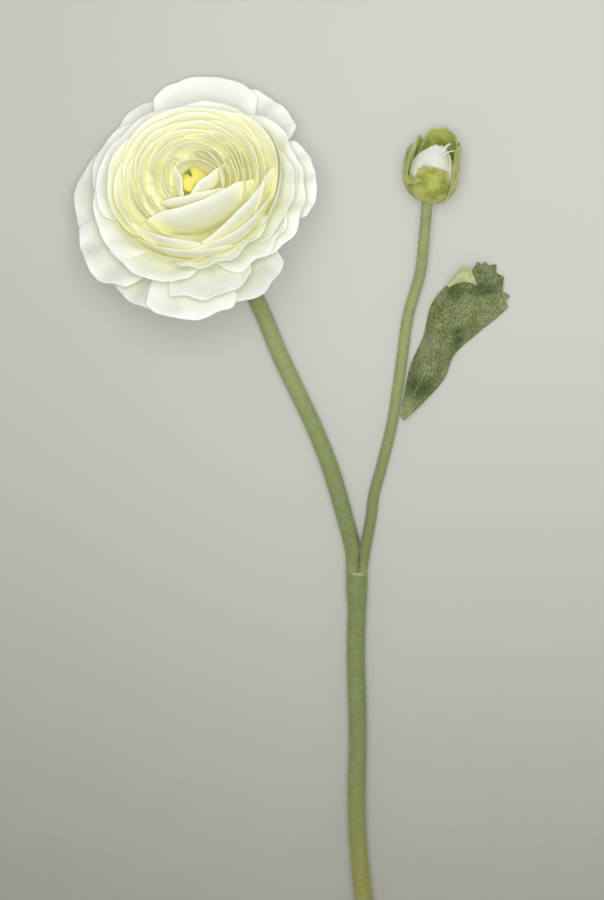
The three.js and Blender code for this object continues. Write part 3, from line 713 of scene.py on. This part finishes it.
class RANUNCULUS_OT_eye(Modeller, bpy.types.Operator):
    """Models the closed yellow-green middle of small folded petals."""

    bl_idname = "ranunculus.eye"
    bl_label = "Eye"

    def build(self, scene):
        bloom = scene.ranunculus_bloom
        matrix = bloom_frame(bloom)
        core = sculpted(ringed_rod(48, 30), self.dome, matrix)
        only(core)
        bpy.ops.object.shade_smooth()
        common = dict(root=(4.2, 14), root_lean=6, tip_lean=-50, frill=0.2, margin=0.06, shade_and_tint=0.7)
        rows = [at(150 + GOLDEN_ANGLE * i, 2.4 + 0.3 * i, 22.4 - 0.2 * i, 2.6) for i in range(EYE_FOLDS)]
        folds = petals(family("eye", common, rows), 10, 12, matrix, bloom.petal_thickness)
        finished(joined([folds, core]), "bloom_eye", "eye_yellow", eye_material(scene.ranunculus_colours))

    def dome(self, flat):
        """The folded mass under the small petals, with a green hollow on its far side and painted shade in its
        fold valleys.
        """
        share = flat.z + 0.5
        turn = math.atan2(flat.y, flat.x)
        side = Vector((2.6, 9.7)).lerp(Vector((4.9, 20.4)), min(share / 0.7, 1))
        rounding = clamp((share - 0.7) / 0.3)
        radius = side.x * math.sqrt(max(1 - rounding**2, 0)) * math.hypot(flat.x, flat.y)
        fold = math.cos(3 * turn + 2.4 * rounding + 0.6)
        radius *= 1 + 0.07 * fold * (1 - rounding)
        height = side.y + 2.2 * rounding + 0.35 * fold * rounding * (1 - rounding) * 4
        green = hump(turn, math.radians(128), 0.5) * smooth(rounding, 0.05, 0.5)
        # The fold valleys are painted darker, as shade.
        return around(turn, radius, height), (0.6 * (1 - green) - 0.1 * smooth(-fold, 0.3, 1), 0.5, 0, 0.5)


class RANUNCULUS_OT_calyx(Modeller, bpy.types.Operator):
    """Models the swollen end of the stem and the sepals behind the bloom."""

    bl_idname = "ranunculus.calyx"
    bl_label = "Calyx"

    def build(self, scene):
        bloom = scene.ranunculus_bloom
        matrix = bloom_frame(bloom)
        profile = [(3, -4.2), (3.3, -3.9), (3.9, -3.2), (4.8, -2.2), (5.3, -1.5), (5.4, -0.8), (5.0, -0.35)]
        hub = turned(profile, 32, matrix)
        common = dict(root=(3.4, -1.7), root_lean=92, tip_lean=104, frill=0.7, margin=0.06)
        turn = 360 / CALYX_SEPALS
        rows = [at(20 + turn * i, 18, -3.2 + 0.3 * scatter(i), 5.5) for i in range(CALYX_SEPALS)]
        sepals = petals(family("calyx", common, rows), 14, 18, matrix, bloom.sepal_thickness)
        edges_kept(hub, 40)
        material = sepal_material(scene.ranunculus_colours)
        finished(joined([sepals, hub]), "bloom_calyx", "sepal_green", material)


class RANUNCULUS_OT_bud(Modeller, bpy.types.Operator):
    """Models the bud's closed white petals and its green sepals."""

    bl_idname = "ranunculus.bud"
    bl_label = "Bud"

    def build(self, scene):
        bud, colours = scene.ranunculus_bud, scene.ranunculus_colours
        matrix = bud_frame(bud) @ Matrix.Diagonal((bud.width, 1, 1, 1))
        self.white(bud, matrix, white_petal_material(colours))
        self.green(bud, matrix, sepal_material(colours))

    def white(self, bud, matrix, material):
        """The closed petals, wrapped round a core, and their curled tips."""
        profile = [(2.8, 1), (4.2, 3), (6.4, 7), (6.6, 12), (5.4, 17), (2.4, 20)]
        core = turned(profile, 24, matrix, (0.7, 0.3, 0, 0.5))
        rounder(core)
        leans = dict(root_lean=66, tip_lean=-50, bulge=0.48, twist=0.6)
        common = dict(leans, root=(2.4, 2.2), belly=0.2, frill=0.2, margin=0.04, shade_and_tint=0.3)
        rows = []
        for i in range(BUD_PETALS):
            rows.append(at(88 + GOLDEN_ANGLE * i, 2.6 - 0.25 * i, 22.3 - 0.4 * (i % 3), 7.6 - 0.3 * i))
        sheets = petals(family("bud", common, rows), 14, 14, matrix, bud.petal_thickness)
        curled = family("bud_tips", dict(root_lean=10, frill=0.1, shade_and_tint=0.4), BUD_TIPS)
        tips = petals(curled, 8, 12, matrix, bud.petal_thickness)
        finished(joined([sheets, tips, core]), "bud_petals", "white_petal", material)

    def green(self, bud, matrix, material):
        """The sepals and the bud's foot."""
        foot = turned([(2.3, 0), (2.8, 0.3), (3.2, 0.9), (4.2, 2.2), (2, 2.6)], 24, matrix)
        common = dict(root=(2.6, 0.9), root_lean=88, ruffle=0.2, belly=0.1, twist=0.5, frill=0.6, margin=0.07)
        sepals = petals(family("bud_sepals", common, BUD_SEPALS), 16, 20, matrix, bud.sepal_thickness)
        finished(joined([sepals, foot]), "bud_sepals", "sepal_green", material)


# Stems


def lying(route, radius):
    """A route in metres. A place without a height lies on the surface."""
    return [Vector((p[0] * MM, p[1] * MM, p[2] * MM if len(p) > 2 else radius)) for p in route]


def bloom_bend(sizes, bloom):
    """The bend behind the bloom: an arc upwards that ends in a short neck along the bloom's axis."""
    axis = bloom_frame(bloom).to_3x3().normalized() @ UP
    neck_top = Vector(bloom.place) - axis * bloom.hub_depth
    end = neck_top - axis * sizes.neck_length
    along = Vector((axis.x, axis.y, 0)).normalized()
    last = math.pi / 2 - bloom.tilt
    arc = []
    for share in (0.15, 0.45, 0.75, 1):
        angle = last * share
        back = sizes.bend_radius * (math.sin(last) - math.sin(angle))
        drop = sizes.bend_radius * (math.cos(angle) - math.cos(last))
        arc.append(end - along * back - Vector((0, 0, drop)))
    return [*arc, end.lerp(neck_top, 0.5), neck_top]


def limb(route, radius_at, sides, seed):
    """A round, slightly uneven stem along a route."""

    def place_at(flat):
        t = clamp(flat.z + 0.5)
        along = route.along(t)
        side = along.cross(UP).normalized()
        top = side.cross(along)
        swell = noise_at(flat.x, flat.y, t * route.length * 40 + seed)
        radius = radius_at(t) * (1 + 0.035 * swell)
        place = route.at(t) + side * flat.x * radius + top * flat.y * radius
        place.z = max(place.z, 0)
        return place, (t, 0.5 + 0.5 * flat.x, 0.5 + 0.5 * flat.y, 0)

    return sculpted(ringed_rod(sides, STEM_RINGS), place_at)


def capped(piece, target, steps):
    """Shapes the end cap nearest a place by insets, each with a width and a depth."""
    only(piece)
    bpy.ops.object.mode_set(mode="EDIT")
    bpy.ops.mesh.select_mode(type="FACE")
    bpy.ops.mesh.select_all(action="DESELECT")
    mesh = bmesh.from_edit_mesh(piece.data)
    caps = [face for face in mesh.faces if len(face.verts) > 4]
    nearest = min(caps, key=lambda face: (face.calc_center_median() - target).length)
    nearest.select = True
    bmesh.update_edit_mesh(piece.data)
    for inset, depth in steps:
        bpy.ops.mesh.inset(thickness=inset, depth=depth)
    bpy.ops.object.mode_set(mode="OBJECT")


def stem_finish(piece, node, *materials):
    """Smooths a stem but keeps its cut edges, and finishes it."""
    edges_kept(piece, 50)
    finished(piece, node, "stem_green", *materials)


class RANUNCULUS_OT_main_stem(Modeller, bpy.types.Operator):
    """Models the main stem, from its cut end to the swollen fork."""

    bl_idname = "ranunculus.main_stem"
    bl_label = "Main stem"

    def build(self, scene):
        sizes, colours = scene.ranunculus_stems, scene.ranunculus_colours
        places = lying(MAIN_ROUTE, sizes.main_radius)
        places[0].z = sizes.cut_end_radius
        places[-2].z = places[-1].z = sizes.collar_radius
        route = Route(places)

        def radius_at(t):
            before_fork = (1 - t) * route.length / MM
            flare = 1 - smooth(before_fork, 0.6 * COLLAR_LENGTH, 2.5 * COLLAR_LENGTH)
            foot = 1 - smooth(t, 0, 0.35)
            collar = (sizes.collar_radius - sizes.main_radius) * flare
            return sizes.main_radius + collar + (sizes.cut_end_radius - sizes.main_radius) * foot

        piece = limb(route, radius_at, sizes.sides, 3)
        capped(piece, places[-1], COLLAR_LIP)
        capped(piece, places[0], CUT_FACE)
        for face in piece.data.polygons:
            if (face.center - places[0]).length < PITH_REACH and abs(face.normal.y) > 0.4:
                face.material_index = 1
        stem_finish(piece, "main_stem", stem_material(colours, "main"), pith_material(colours))


class RANUNCULUS_OT_branches(Modeller, bpy.types.Operator):
    """Models the bloom's stem and the bud's stem."""

    bl_idname = "ranunculus.branches"
    bl_label = "Branches"

    def build(self, scene):
        sizes, bloom, bud = scene.ranunculus_stems, scene.ranunculus_bloom, scene.ranunculus_bud
        places = [*lying(BLOOM_ROUTE, sizes.bloom_radius), *bloom_bend(sizes, bloom)]
        self.branch(scene, "bloom", Route(places), sizes.bloom_foot_radius, sizes.bloom_radius, 11)
        end = bud_frame(bud) @ Vector((0, 0, 0.2))
        places = [*lying(BUD_ROUTE, sizes.bud_radius), end]
        self.branch(scene, "bud", Route(places), sizes.bud_foot_radius, sizes.bud_radius, 29)

    def branch(self, scene, name, route, foot, full, seed):
        """A stem that grows from its narrow foot to its full size."""

        def radius_at(t):
            return foot + (full - foot) * smooth(t * route.length / MM, 0, FOOT_LENGTH)

        piece = limb(route, radius_at, scene.ranunculus_stems.sides, seed)
        stem_finish(piece, name + "_stem", stem_material(scene.ranunculus_colours, name))


# Leaf


def leaf_height(s, t):
    """The leaf arches between its sides, is creased along its midrib and curls up along its left side."""
    arch = 5.5 * math.sin(math.pi * s) * smooth(t, 0, 0.35) * (1 - 0.6 * smooth(t, 0.6, 1))
    crease = -1.6 * hump(s, 0.55, 0.1) * smooth(t, 0.15, 0.5)
    curl = 6 * (1 - smooth(s, 0, 0.5)) * smooth(t, 0.35, 0.8)
    foot = 2.6 * (1 - smooth(t, 0, 0.4))
    wave = 0.5 * math.sin(9 * t + 4 * s) * smooth(t, 0.2, 0.6)
    return LEAF_BASE + foot + arch + crease + curl + wave


def vein(s, t):
    """How near a place is to the midrib or to a side vein, from 0 to 1."""
    aside = abs(s - MIDRIB)
    fan = (t - 0.9 * aside) * 7
    side = hump(fan, round(fan), 0.09) * smooth(aside, 0.02, 0.1)
    return max(hump(s, MIDRIB, 0.022) * (1 - 0.7 * t), 0.45 * side * smooth(t, 0.15, 0.3))


def leaf_plan(s, t):
    """The leaf's outline, filled, from above."""
    end = spline_at(LEAF_LEFT, 1).lerp(spline_at(LEAF_RIGHT, 1), s)
    plain = spline_at(LEAF_LEFT, t).lerp(spline_at(LEAF_RIGHT, t), s)
    return plain + (polyline_at(LEAF_TIP, s) - end) * t**4


def leaf_place(s, t):
    """A place on the leaf, in millimetres."""
    plan = leaf_plan(s, t)
    crumple = 0.5 * noise_at(plan.x * 0.14, plan.y * 0.14, 3.3)
    crumple += 0.22 * noise_at(plan.x * 0.42, plan.y * 0.42, 8.1)
    height = leaf_height(s, t) + crumple * smooth(t, 0.03, 0.2) + 0.22 * vein(s, t)
    return Vector((plan.x, plan.y, max(height, LEAF_LOWEST)))


class RANUNCULUS_OT_leaf(Modeller, bpy.types.Operator):
    """Models the leaf with its folded left side."""

    bl_idname = "ranunculus.leaf"
    bl_label = "Leaf"

    def build(self, scene):
        matrix = Matrix.Scale(MM, 4)
        sheet = sculpted(flat_blade(66, 64), self.sheet, matrix)
        fold = sculpted(flat_blade(16, 24), self.fold, matrix)
        for face in fold.data.polygons:
            face.material_index = 1
        faces = leaf_material(scene.ranunculus_colours), leaf_under_material(scene.ranunculus_colours)
        for part in (sheet, fold):
            for material in faces:
                part.data.materials.append(material)
        leaf = joined([sheet, fold])
        thickened(leaf, scene.ranunculus_leaf.thickness, material_offset=1, material_offset_rim=0)
        finished(leaf, "leaf", "leaf_green")

    def sheet(self, flat):
        """The leaf itself. Its tone holds both shares, the veins and the painted shadows."""
        s, t = (flat.x + 1) / 2, (flat.y + 1) / 2
        place = leaf_place(s, t)
        # Painted shadow where the folded strip and the creases shade the leaf.
        dark = sum(1.3 * hump(place.x, x, wide) * hump(place.y, y, high) for x, y, wide, high in LEAF_PAINTED_SHADOWS)
        return place, (t, s, vein(s, t), min(dark, 1.0))

    def fold(self, flat):
        """The strip of the left side that is folded back over the leaf."""
        over, along = (flat.x + 1) / 2, (flat.y + 1) / 2
        plan = spline_at(FOLD, along).lerp(spline_at(FREE_EDGE, along), over)
        arch = 1.6 * math.sin(math.pi * over * 0.8) * math.sin(math.pi * clamp(along, 0.1, 0.8))
        ribs = 0.12 * math.sin(26 * along + 3 * over)
        height = leaf_height(0.2 * over, 0.8 + 0.15 * along) + 0.7 + arch + ribs
        return Vector((plan.x, plan.y, height)), (0.5, 0.5, 0, over)


# Materials


class Wiring:
    """Adds the nodes of one node tree and links them. A colour is given without its alpha."""

    def __init__(self, tree):
        self.tree = tree

    def feed(self, node, inputs):
        """Gives a node's inputs their values or other nodes' outputs."""
        for key, value in inputs.items():
            socket = node.inputs[key]
            if isinstance(value, bpy.types.NodeSocket):
                self.tree.links.new(value, socket)
            else:
                socket.default_value = (*value, 1.0) if socket.type == "RGBA" else value
        return node

    def add(self, kind, inputs=None, **settings):
        """A new node."""
        node = self.tree.nodes.new(kind)
        for name, value in settings.items():
            setattr(node, name, value)
        return self.feed(node, inputs or {})

    def grouped(self, tree, **inputs):
        """A node group's outputs."""
        return self.add("ShaderNodeGroup", inputs, node_tree=tree).outputs

    def noise(self, where, scale, detail, **inputs):
        """A noise texture's value."""
        inputs = {"Vector": where, "Scale": scale, "Detail": detail, **inputs}
        return self.add("ShaderNodeTexNoise", inputs).outputs[0]

    def maths(self, operation, *values):
        """A mathematics node's output."""
        return self.add("ShaderNodeMath", dict(enumerate(values)), operation=operation).outputs[0]

    def product(self, first, *others):
        """The product of several values."""
        for other in others:
            first = self.maths("MULTIPLY", first, other)
        return first

    def mix(self, share, first, second, blend="MIX"):
        """A colour between two."""
        inputs = {0: share, 6: first, 7: second}
        return self.add("ShaderNodeMix", inputs, data_type="RGBA", blend_type=blend).outputs[2]

    def shaded(self, colour, shade):
        """A colour times a value."""
        grey = self.add("ShaderNodeCombineColor", {0: shade, 1: shade, 2: shade}).outputs[0]
        return self.mix(1.0, colour, grey, "MULTIPLY")

    def step(self, value, low, high, to_low=0.0, to_high=1.0):
        """A soft step."""
        inputs = {"Value": value, "From Min": low, "From Max": high, "To Min": to_low, "To Max": to_high}
        return self.add("ShaderNodeMapRange", inputs, interpolation_type="SMOOTHSTEP").outputs[0]

    def bump(self, height, strength, distance):
        """The normal of a surface with a height."""
        inputs = {"Height": height, "Strength": strength, "Distance": distance}
        return self.add("ShaderNodeBump", inputs).outputs[0]


def group(name, inputs, outputs, wire):
    """A node group of values, made once: wire(wiring, its inputs) gives its outputs by name."""
    found = bpy.data.node_groups.get(name)
    if found:
        return found
    tree = bpy.data.node_groups.new(name, "ShaderNodeTree")
    for label in outputs:
        tree.interface.new_socket(name=label, in_out="OUTPUT", socket_type="NodeSocketFloat")
    for label, default in inputs.items():
        socket = tree.interface.new_socket(name=label, in_out="INPUT", socket_type="NodeSocketFloat")
        socket.default_value = default
    wiring = Wiring(tree)
    wiring.add("NodeGroupOutput", wire(wiring, wiring.add("NodeGroupInput").outputs))
    return tree


def streaks_group():
    """Fine veins that run from a petal's root to its margin, and soft clouds."""

    def wire(w, given):
        uv = w.add("ShaderNodeUVMap", uv_map="UVMap").outputs[0]
        place = w.add("ShaderNodeSeparateXYZ", {0: uv}).outputs
        across, along = w.product(place[0], given["Across"]), w.product(place[1], given["Along"])
        vector = w.add("ShaderNodeCombineXYZ", {0: across, 1: along, 2: given["Draw"]}).outputs[0]
        where = w.add("ShaderNodeTexCoord").outputs["Object"]
        return {"Streaks": w.noise(vector, 1.0, 4.0, Roughness=0.6), "Clouds": w.noise(where, 140.0, 2.0)}

    inputs = {"Across": 46.0, "Along": 2.2, "Draw": 0.0}
    return group("Petal streaks", inputs, ("Streaks", "Clouds"), wire)


def flock_group():
    """The speckled look of fine hairs on stems, leaf and sepals."""

    def wire(w, given):
        scale = given["Scale"]
        where = w.add("ShaderNodeTexCoord").outputs["Object"]
        fine = w.noise(where, scale, 3.0)
        dots = w.add("ShaderNodeTexVoronoi", {"Vector": where, "Scale": scale, "Randomness": 1.0})
        patches = w.noise(where, w.product(scale, 0.12), 3.0)
        specks = w.step(dots.outputs["Distance"], 0.30, 0.12)
        height = w.maths("MULTIPLY_ADD", specks, 0.5, fine)
        return {"Specks": specks, "Grain": fine, "Patches": patches, "Height": height}

    return group("Fine hairs", {"Scale": 1500.0}, ("Specks", "Grain", "Patches", "Height"), wire)


def material_of(name, wire):
    """A material, made once: wire(wiring, the tone's channels) gives its Principled shader's inputs."""
    found = bpy.data.materials.get(name)
    if found:
        return found
    made = bpy.data.materials.new(name)
    made.use_nodes = True
    w = Wiring(made.node_tree)
    tone = w.add("ShaderNodeAttribute", attribute_name=TONE)
    parts = w.add("ShaderNodeSeparateColor", {0: tone.outputs["Color"]}).outputs
    w.feed(made.node_tree.nodes["Principled BSDF"], wire(w, (*parts, tone.outputs["Alpha"])))
    return made


def petal_material(name, root, body, rim, painted_crevice, glow, low, high, painted_margin_glow=0.0):
    """A soft petal, with fine streaks.

    Between low and high, as shares of its length, it turns from the root's colour to the body's, and at its
    margin to the rim's. Where its neighbours hide it, painted shade and light take it towards the crevice
    colour, and a painted glow stands in for the light that passes through them. Its margin gets a painted glow
    too. The tone's second channel paints shade on it, and a low value there also brings it nearer the root's
    colour.
    """

    def wire(w, tone):
        along, shade_and_tint, edge, draw = tone
        streaks = w.grouped(streaks_group(), Draw=w.product(draw, 9.0))
        veins, clouds = streaks["Streaks"], streaks["Clouds"]
        reached = w.maths("MULTIPLY_ADD", w.maths("SUBTRACT", shade_and_tint, 0.5), 0.5, along)
        from_root = w.step(w.maths("MULTIPLY_ADD", veins, 0.12, reached), low, high)
        colour = w.mix(from_root, root, body)
        colour = w.mix(w.step(edge, 0.55, 1.0, 0.0, 0.7), colour, rim)
        # Where neighbours hide the petal, crevice shade and the light through petals are painted: a crevice
        # colour and a glow.
        nearby = w.add("ShaderNodeAmbientOcclusion", {"Distance": CREVICE_REACH}, samples=6).outputs["AO"]
        painted_crevice_share = w.step(nearby, 0.75, 0.05)
        colour = w.mix(w.product(painted_crevice_share, 0.6), colour, painted_crevice)
        crevice_glow_colour = w.mix(painted_crevice_share, (0, 0, 0), [glow * c for c in painted_crevice])
        # A painted glow along the petal's margin.
        margin_glow_colour = w.mix(1.0, crevice_glow_colour, [painted_margin_glow * c for c in MARGIN_GLOW_TINT], "ADD")
        # Painted shade from the tone's second channel, and shade from the streaks, clouds and draw, which vary
        # at random.
        shades = (
            w.step(veins, 0.35, 0.62, 0.98, 1.0),
            w.step(clouds, 0.3, 0.7, 0.965, 1.0),
            w.step(shade_and_tint, 0.15, 0.5, 0.84, 1.0),
            w.step(draw, 0.0, 1.0, 0.96, 1.0),
        )
        return {
            "Base Color": w.shaded(colour, w.product(*shades)),
            "Roughness": w.step(clouds, 0.3, 0.7, 0.52, 0.66),
            "Normal": w.bump(veins, 0.18, 0.0002),
            "Specular IOR Level": 0.35,
            "Subsurface Weight": 0.8,
            "Subsurface Radius": (1.0, 1.0, 0.9),
            "Subsurface Scale": 0.0005,
            "Emission Color": w.mix(w.step(edge, 0.7, 1.0), crevice_glow_colour, margin_glow_colour),
            "Emission Strength": 1.0,
        }

    return material_of(name, wire)


def white_petal_material(colours):
    """The outer petals and the bud's petals."""
    root, white, painted_crevice = colours.white_root, colours.white, colours.white_deep
    rim = [0.5 + 0.5 * c for c in white]
    return petal_material("White petal", root, white, rim, painted_crevice, glow=0.08, low=0.3, high=0.95, painted_margin_glow=0.02)


def cream_petal_material(colours):
    """The rosette's petals."""
    shades = colours.cream_root, colours.cream, colours.cream_rim, colours.cream_deep
    return petal_material("Cream petal", *shades, glow=0.1, low=0.45, high=1.0, painted_margin_glow=0.06)


def eye_material(colours):
    """The small folded petals in the middle."""
    shades = colours.eye_dark, colours.eye, colours.eye, colours.eye
    return petal_material("Eye petal", *shades, glow=0.05, low=0.05, high=0.5)


def haired_material(name, colour_of, hairs, specks, scale, grain=0.6, bare=None):
    """A matt green surface under fine pale hairs.

    colour_of gives the colour below them. specks is the share of their colour, scale their closeness, grain
    the depth of the dark grain between them, and bare the number of the tone's channel that thins them.
    """

    def wire(w, tone):
        flock = w.grouped(flock_group(), Scale=scale)
        colour = colour_of(w, tone, flock)
        colour = w.mix(w.step(flock["Grain"], 0.36, 0.6), w.shaded(colour, grain), colour)
        share = w.product(flock["Specks"], specks)
        if bare is not None:
            share = w.product(share, w.step(tone[bare], 0.1, 0.8, 1.0, 0.15))
        return {
            "Base Color": w.mix(share, colour, hairs),
            "Roughness": w.step(flock["Grain"], 0.3, 0.7, 0.7, 0.92),
            "Normal": w.bump(flock["Height"], 0.6, 0.0003),
            "Specular IOR Level": 0.25,
            "Sheen Weight": 0.5,
            "Sheen Roughness": 0.45,
            "Sheen Tint": (0.85, 0.9, 0.7),
        }

    return material_of(name, wire)


def patched(base, patch):
    """What colours a plain haired surface: a base with patches."""

    def colour_of(w, tone, flock):
        return w.mix(w.step(flock["Patches"], 0.4, 0.6), base, patch)

    return colour_of


def stem_material(colours, name):
    """A stem's finish.

    The branches are paler towards their heads and at their feet, and painted shade darkens the bloom's inside
    the fork. The main stem is yellower at its cut end and has a painted highlight on its lip at the fork. Brown
    patches, kept to each stem's left side, are partly its own colour and partly painted shade.
    """

    def colour_of(w, tone, flock):
        along, side, patches = tone[0], tone[1], flock["Patches"]
        if name == "main":
            colour = w.mix(w.step(along, 0.2, 0.6), colours.stem_cut, colours.stem)
            grain = w.step(flock["Grain"], 0.35, 0.6, 0.2, 0.75)
            # A painted highlight along the collar's lip, left out on its left side.
            lip = w.product(w.step(along, 0.996, 0.9995), grain, w.step(side, 0.15, 0.3))
            colour = w.mix(lip, colour, colours.stem_lip)
        else:
            colour = w.mix(w.step(along, 0.0, 0.7), colours.stem, colours.stem_end)
            colour = w.mix(w.step(along, 0.06, 0.0, 0.0, 0.4), colour, colours.stem_end)
        if name == "bloom":
            # Painted shade on the bloom stem's side that faces the bud stem, at the fork.
            inner = w.product(w.step(along, 0.13, 0.08), w.step(along, 0.01, 0.04))
            inner = w.product(inner, w.step(side, 0.72, 0.95, 0.0, 0.85))
            colour = w.mix(inner, colour, colours.stem_inner)
        # Brown patches kept to the left side: partly the stem's own colour, partly painted shade on its darker
        # side.
        brown = w.product(w.step(side, 0.35, 0.02), w.step(patches, 0.42, 0.6), 0.5)
        colour = w.mix(brown, colour, colours.stem_brown)
        return w.mix(w.step(patches, 0.5, 0.65, 0.0, 0.4), colour, colours.stem_patch)

    hairs = dict(hairs=colours.stem_hairs, specks=0.45, scale=1700.0, grain=0.8)
    return haired_material("Stem " + name, colour_of, **hairs)


def pith_material(colours):
    """The stem's cut face."""
    return haired_material("Pith", patched(colours.pith, colours.pith_patch), colours.pith_hairs, 0.5, 3200.0)


def leaf_material(colours):
    """The leaf's speckled upper face, whose painted shadows have fewer hair specks, to keep them dark."""

    def colour_of(w, tone, flock):
        near_vein, hollow = tone[2:]
        colour = w.mix(w.step(flock["Patches"], 0.38, 0.62), colours.leaf, colours.leaf_patch)
        # Painted shadow, where the fold and creases shade the leaf.
        colour = w.mix(w.product(hollow, 0.8), colour, colours.leaf_hollow)
        return w.mix(w.product(near_vein, 0.45), colour, colours.leaf_vein)

    hairs = dict(hairs=colours.leaf_hairs, specks=0.65, scale=1150.0, grain=0.55, bare=3)
    return haired_material("Leaf", colour_of, **hairs)


def leaf_under_material(colours):
    """The leaf's pale underside."""
    colour_of = patched(colours.under, colours.under_patch)
    return haired_material("Leaf underside", colour_of, colours.under_hairs, 0.3, scale=2200.0, grain=0.85)


def sepal_material(colours):
    """The sepals of the bud and the bloom."""

    def colour_of(w, tone, flock):
        colour = w.mix(w.step(flock["Patches"], 0.36, 0.62), colours.sepal_dark, colours.sepal)
        return w.mix(w.step(tone[2], 0.6, 1.0, 0.0, 0.4), colour, colours.sepal_rim)

    return haired_material("Sepal", colour_of, colours.sepal_hairs, specks=0.25, scale=1500.0, grain=0.85)


def floor_material(colours):
    """Pale paper with painted shade towards the near edge and the left, and with a painted glow of its own that
    lifts the shadows on it.
    """

    def wire(w, tone):
        where = w.add("ShaderNodeTexCoord").outputs["Object"]
        across, along, _ = w.add("ShaderNodeSeparateXYZ", {0: where}).outputs
        # Painted shade: darker towards the near edge and towards the left.
        near = [c * share for c, share in zip(colours.floor, NEAR_PAPER_SHADE)]
        colour = w.mix(w.step(along, -0.30, 0.14), near, colours.floor)
        colour = w.shaded(colour, w.step(across, -0.16, 0.04, 0.83, 1.0))
        specks = w.step(w.noise(where, 60.0, 3.0), 0.3, 0.7, 0.0, 0.03)
        colour = w.mix(specks, colour, colours.floor_speck)
        # Part of the paper's brightness is a painted glow, though it is no lamp.
        return {
            "Base Color": w.shaded(colour, 1 - PAPER_PAINTED_GLOW),
            "Emission Color": colour,
            "Emission Strength": 1.06 * PAPER_PAINTED_GLOW,
            "Roughness": 0.9,
            "Specular IOR Level": 0.2,
        }

    return material_of("Floor", wire)


# Stage


class RANUNCULUS_OT_stage(Modeller, bpy.types.Operator):
    """Lays the pale floor and sets the soft light and the camera, which looks straight down."""

    bl_idname = "ranunculus.stage"
    bl_label = "Stage"

    def build(self, scene):
        deselect()
        bpy.ops.mesh.primitive_plane_add(size=6, location=(0, 0, -0.0002))
        floor = bpy.context.active_object
        floor.name = "floor"
        bpy.ops.object.transform_apply(location=True, rotation=True, scale=True)
        floor.data.materials.append(floor_material(scene.ranunculus_colours))
        self.light(scene, "Top", (0, 0.12, 2.2), power=38)
        self.light(scene, "Key", (-0.35, 0.75, 1.8), power=3.5)
        scene.world = bpy.data.worlds.new("Studio")
        scene.world.use_nodes = True
        tree = scene.world.node_tree
        Wiring(tree).feed(tree.nodes["Background"], {"Color": (0.97, 0.99, 1.0), "Strength": 0.46})
        scene.view_settings.view_transform = "Standard"
        self.camera(scene)

    def light(self, scene, name, place, power, size=1.4):
        """A large square light that points at the spray."""
        data = bpy.data.lights.new(name, "AREA")
        data.size, data.energy = size, power
        light = bpy.data.objects.new(name, data)
        light.location = place
        light.rotation_euler = (Vector((0, 0.03, 0)) - Vector(place)).to_track_quat("-Z", "Y").to_euler()
        scene.collection.objects.link(light)

    def camera(self, scene):
        """A long lens, straight above, with the photo's height of view at the stems' height."""
        aim = Vector((0.00296, 0.0296, 0.006))
        distance, view_height, sensor = 4.0, 0.333, 36.0
        data = bpy.data.cameras.new("Camera")
        data.sensor_width = sensor
        data.lens = sensor * distance / view_height
        data.clip_end = 20
        camera = bpy.data.objects.new("Camera", data)
        camera.location = aim + UP * distance
        scene.collection.objects.link(camera)
        scene.camera = camera


class RANUNCULUS_PT_panel(bpy.types.Panel):
    """Lists the pieces, their sizes and their colours."""

    bl_label = "Ranunculus"
    bl_idname = "RANUNCULUS_PT_panel"
    bl_space_type = "VIEW_3D"
    bl_region_type = "UI"
    bl_category = "Ranunculus"

    def draw(self, context):
        layout = self.layout
        for operator in OPERATORS:
            layout.operator(operator.bl_idname)
        for name in SETTINGS:
            box = layout.box()
            settings = getattr(context.scene, name)
            for key in settings.bl_rna.properties.keys():
                if key not in ("name", "rna_type"):
                    box.prop(settings, key)


OPERATORS = (
    RANUNCULUS_OT_main_stem,
    RANUNCULUS_OT_branches,
    RANUNCULUS_OT_leaf,
    RANUNCULUS_OT_calyx,
    RANUNCULUS_OT_outer_petals,
    RANUNCULUS_OT_inner_petals,
    RANUNCULUS_OT_eye,
    RANUNCULUS_OT_bud,
    RANUNCULUS_OT_stage,
)
SETTINGS = {
    "ranunculus_stems": StemSizes,
    "ranunculus_bloom": BloomSizes,
    "ranunculus_bud": BudSizes,
    "ranunculus_leaf": LeafSizes,
    "ranunculus_colours": SprayColours,
}
CLASSES = (*SETTINGS.values(), *OPERATORS, RANUNCULUS_PT_panel)


def register():
    for cls in CLASSES:
        bpy.utils.register_class(cls)
    for name, kind in SETTINGS.items():
        setattr(bpy.types.Scene, name, PointerProperty(type=kind))


def unregister():
    for name in SETTINGS:
        delattr(bpy.types.Scene, name)
    for cls in reversed(CLASSES):
        bpy.utils.unregister_class(cls)


def main():
    register()
    for operator in OPERATORS:
        group_name, call = operator.bl_idname.split(".")
        getattr(getattr(bpy.ops, group_name), call)()


if __name__ == "__main__":
    main()
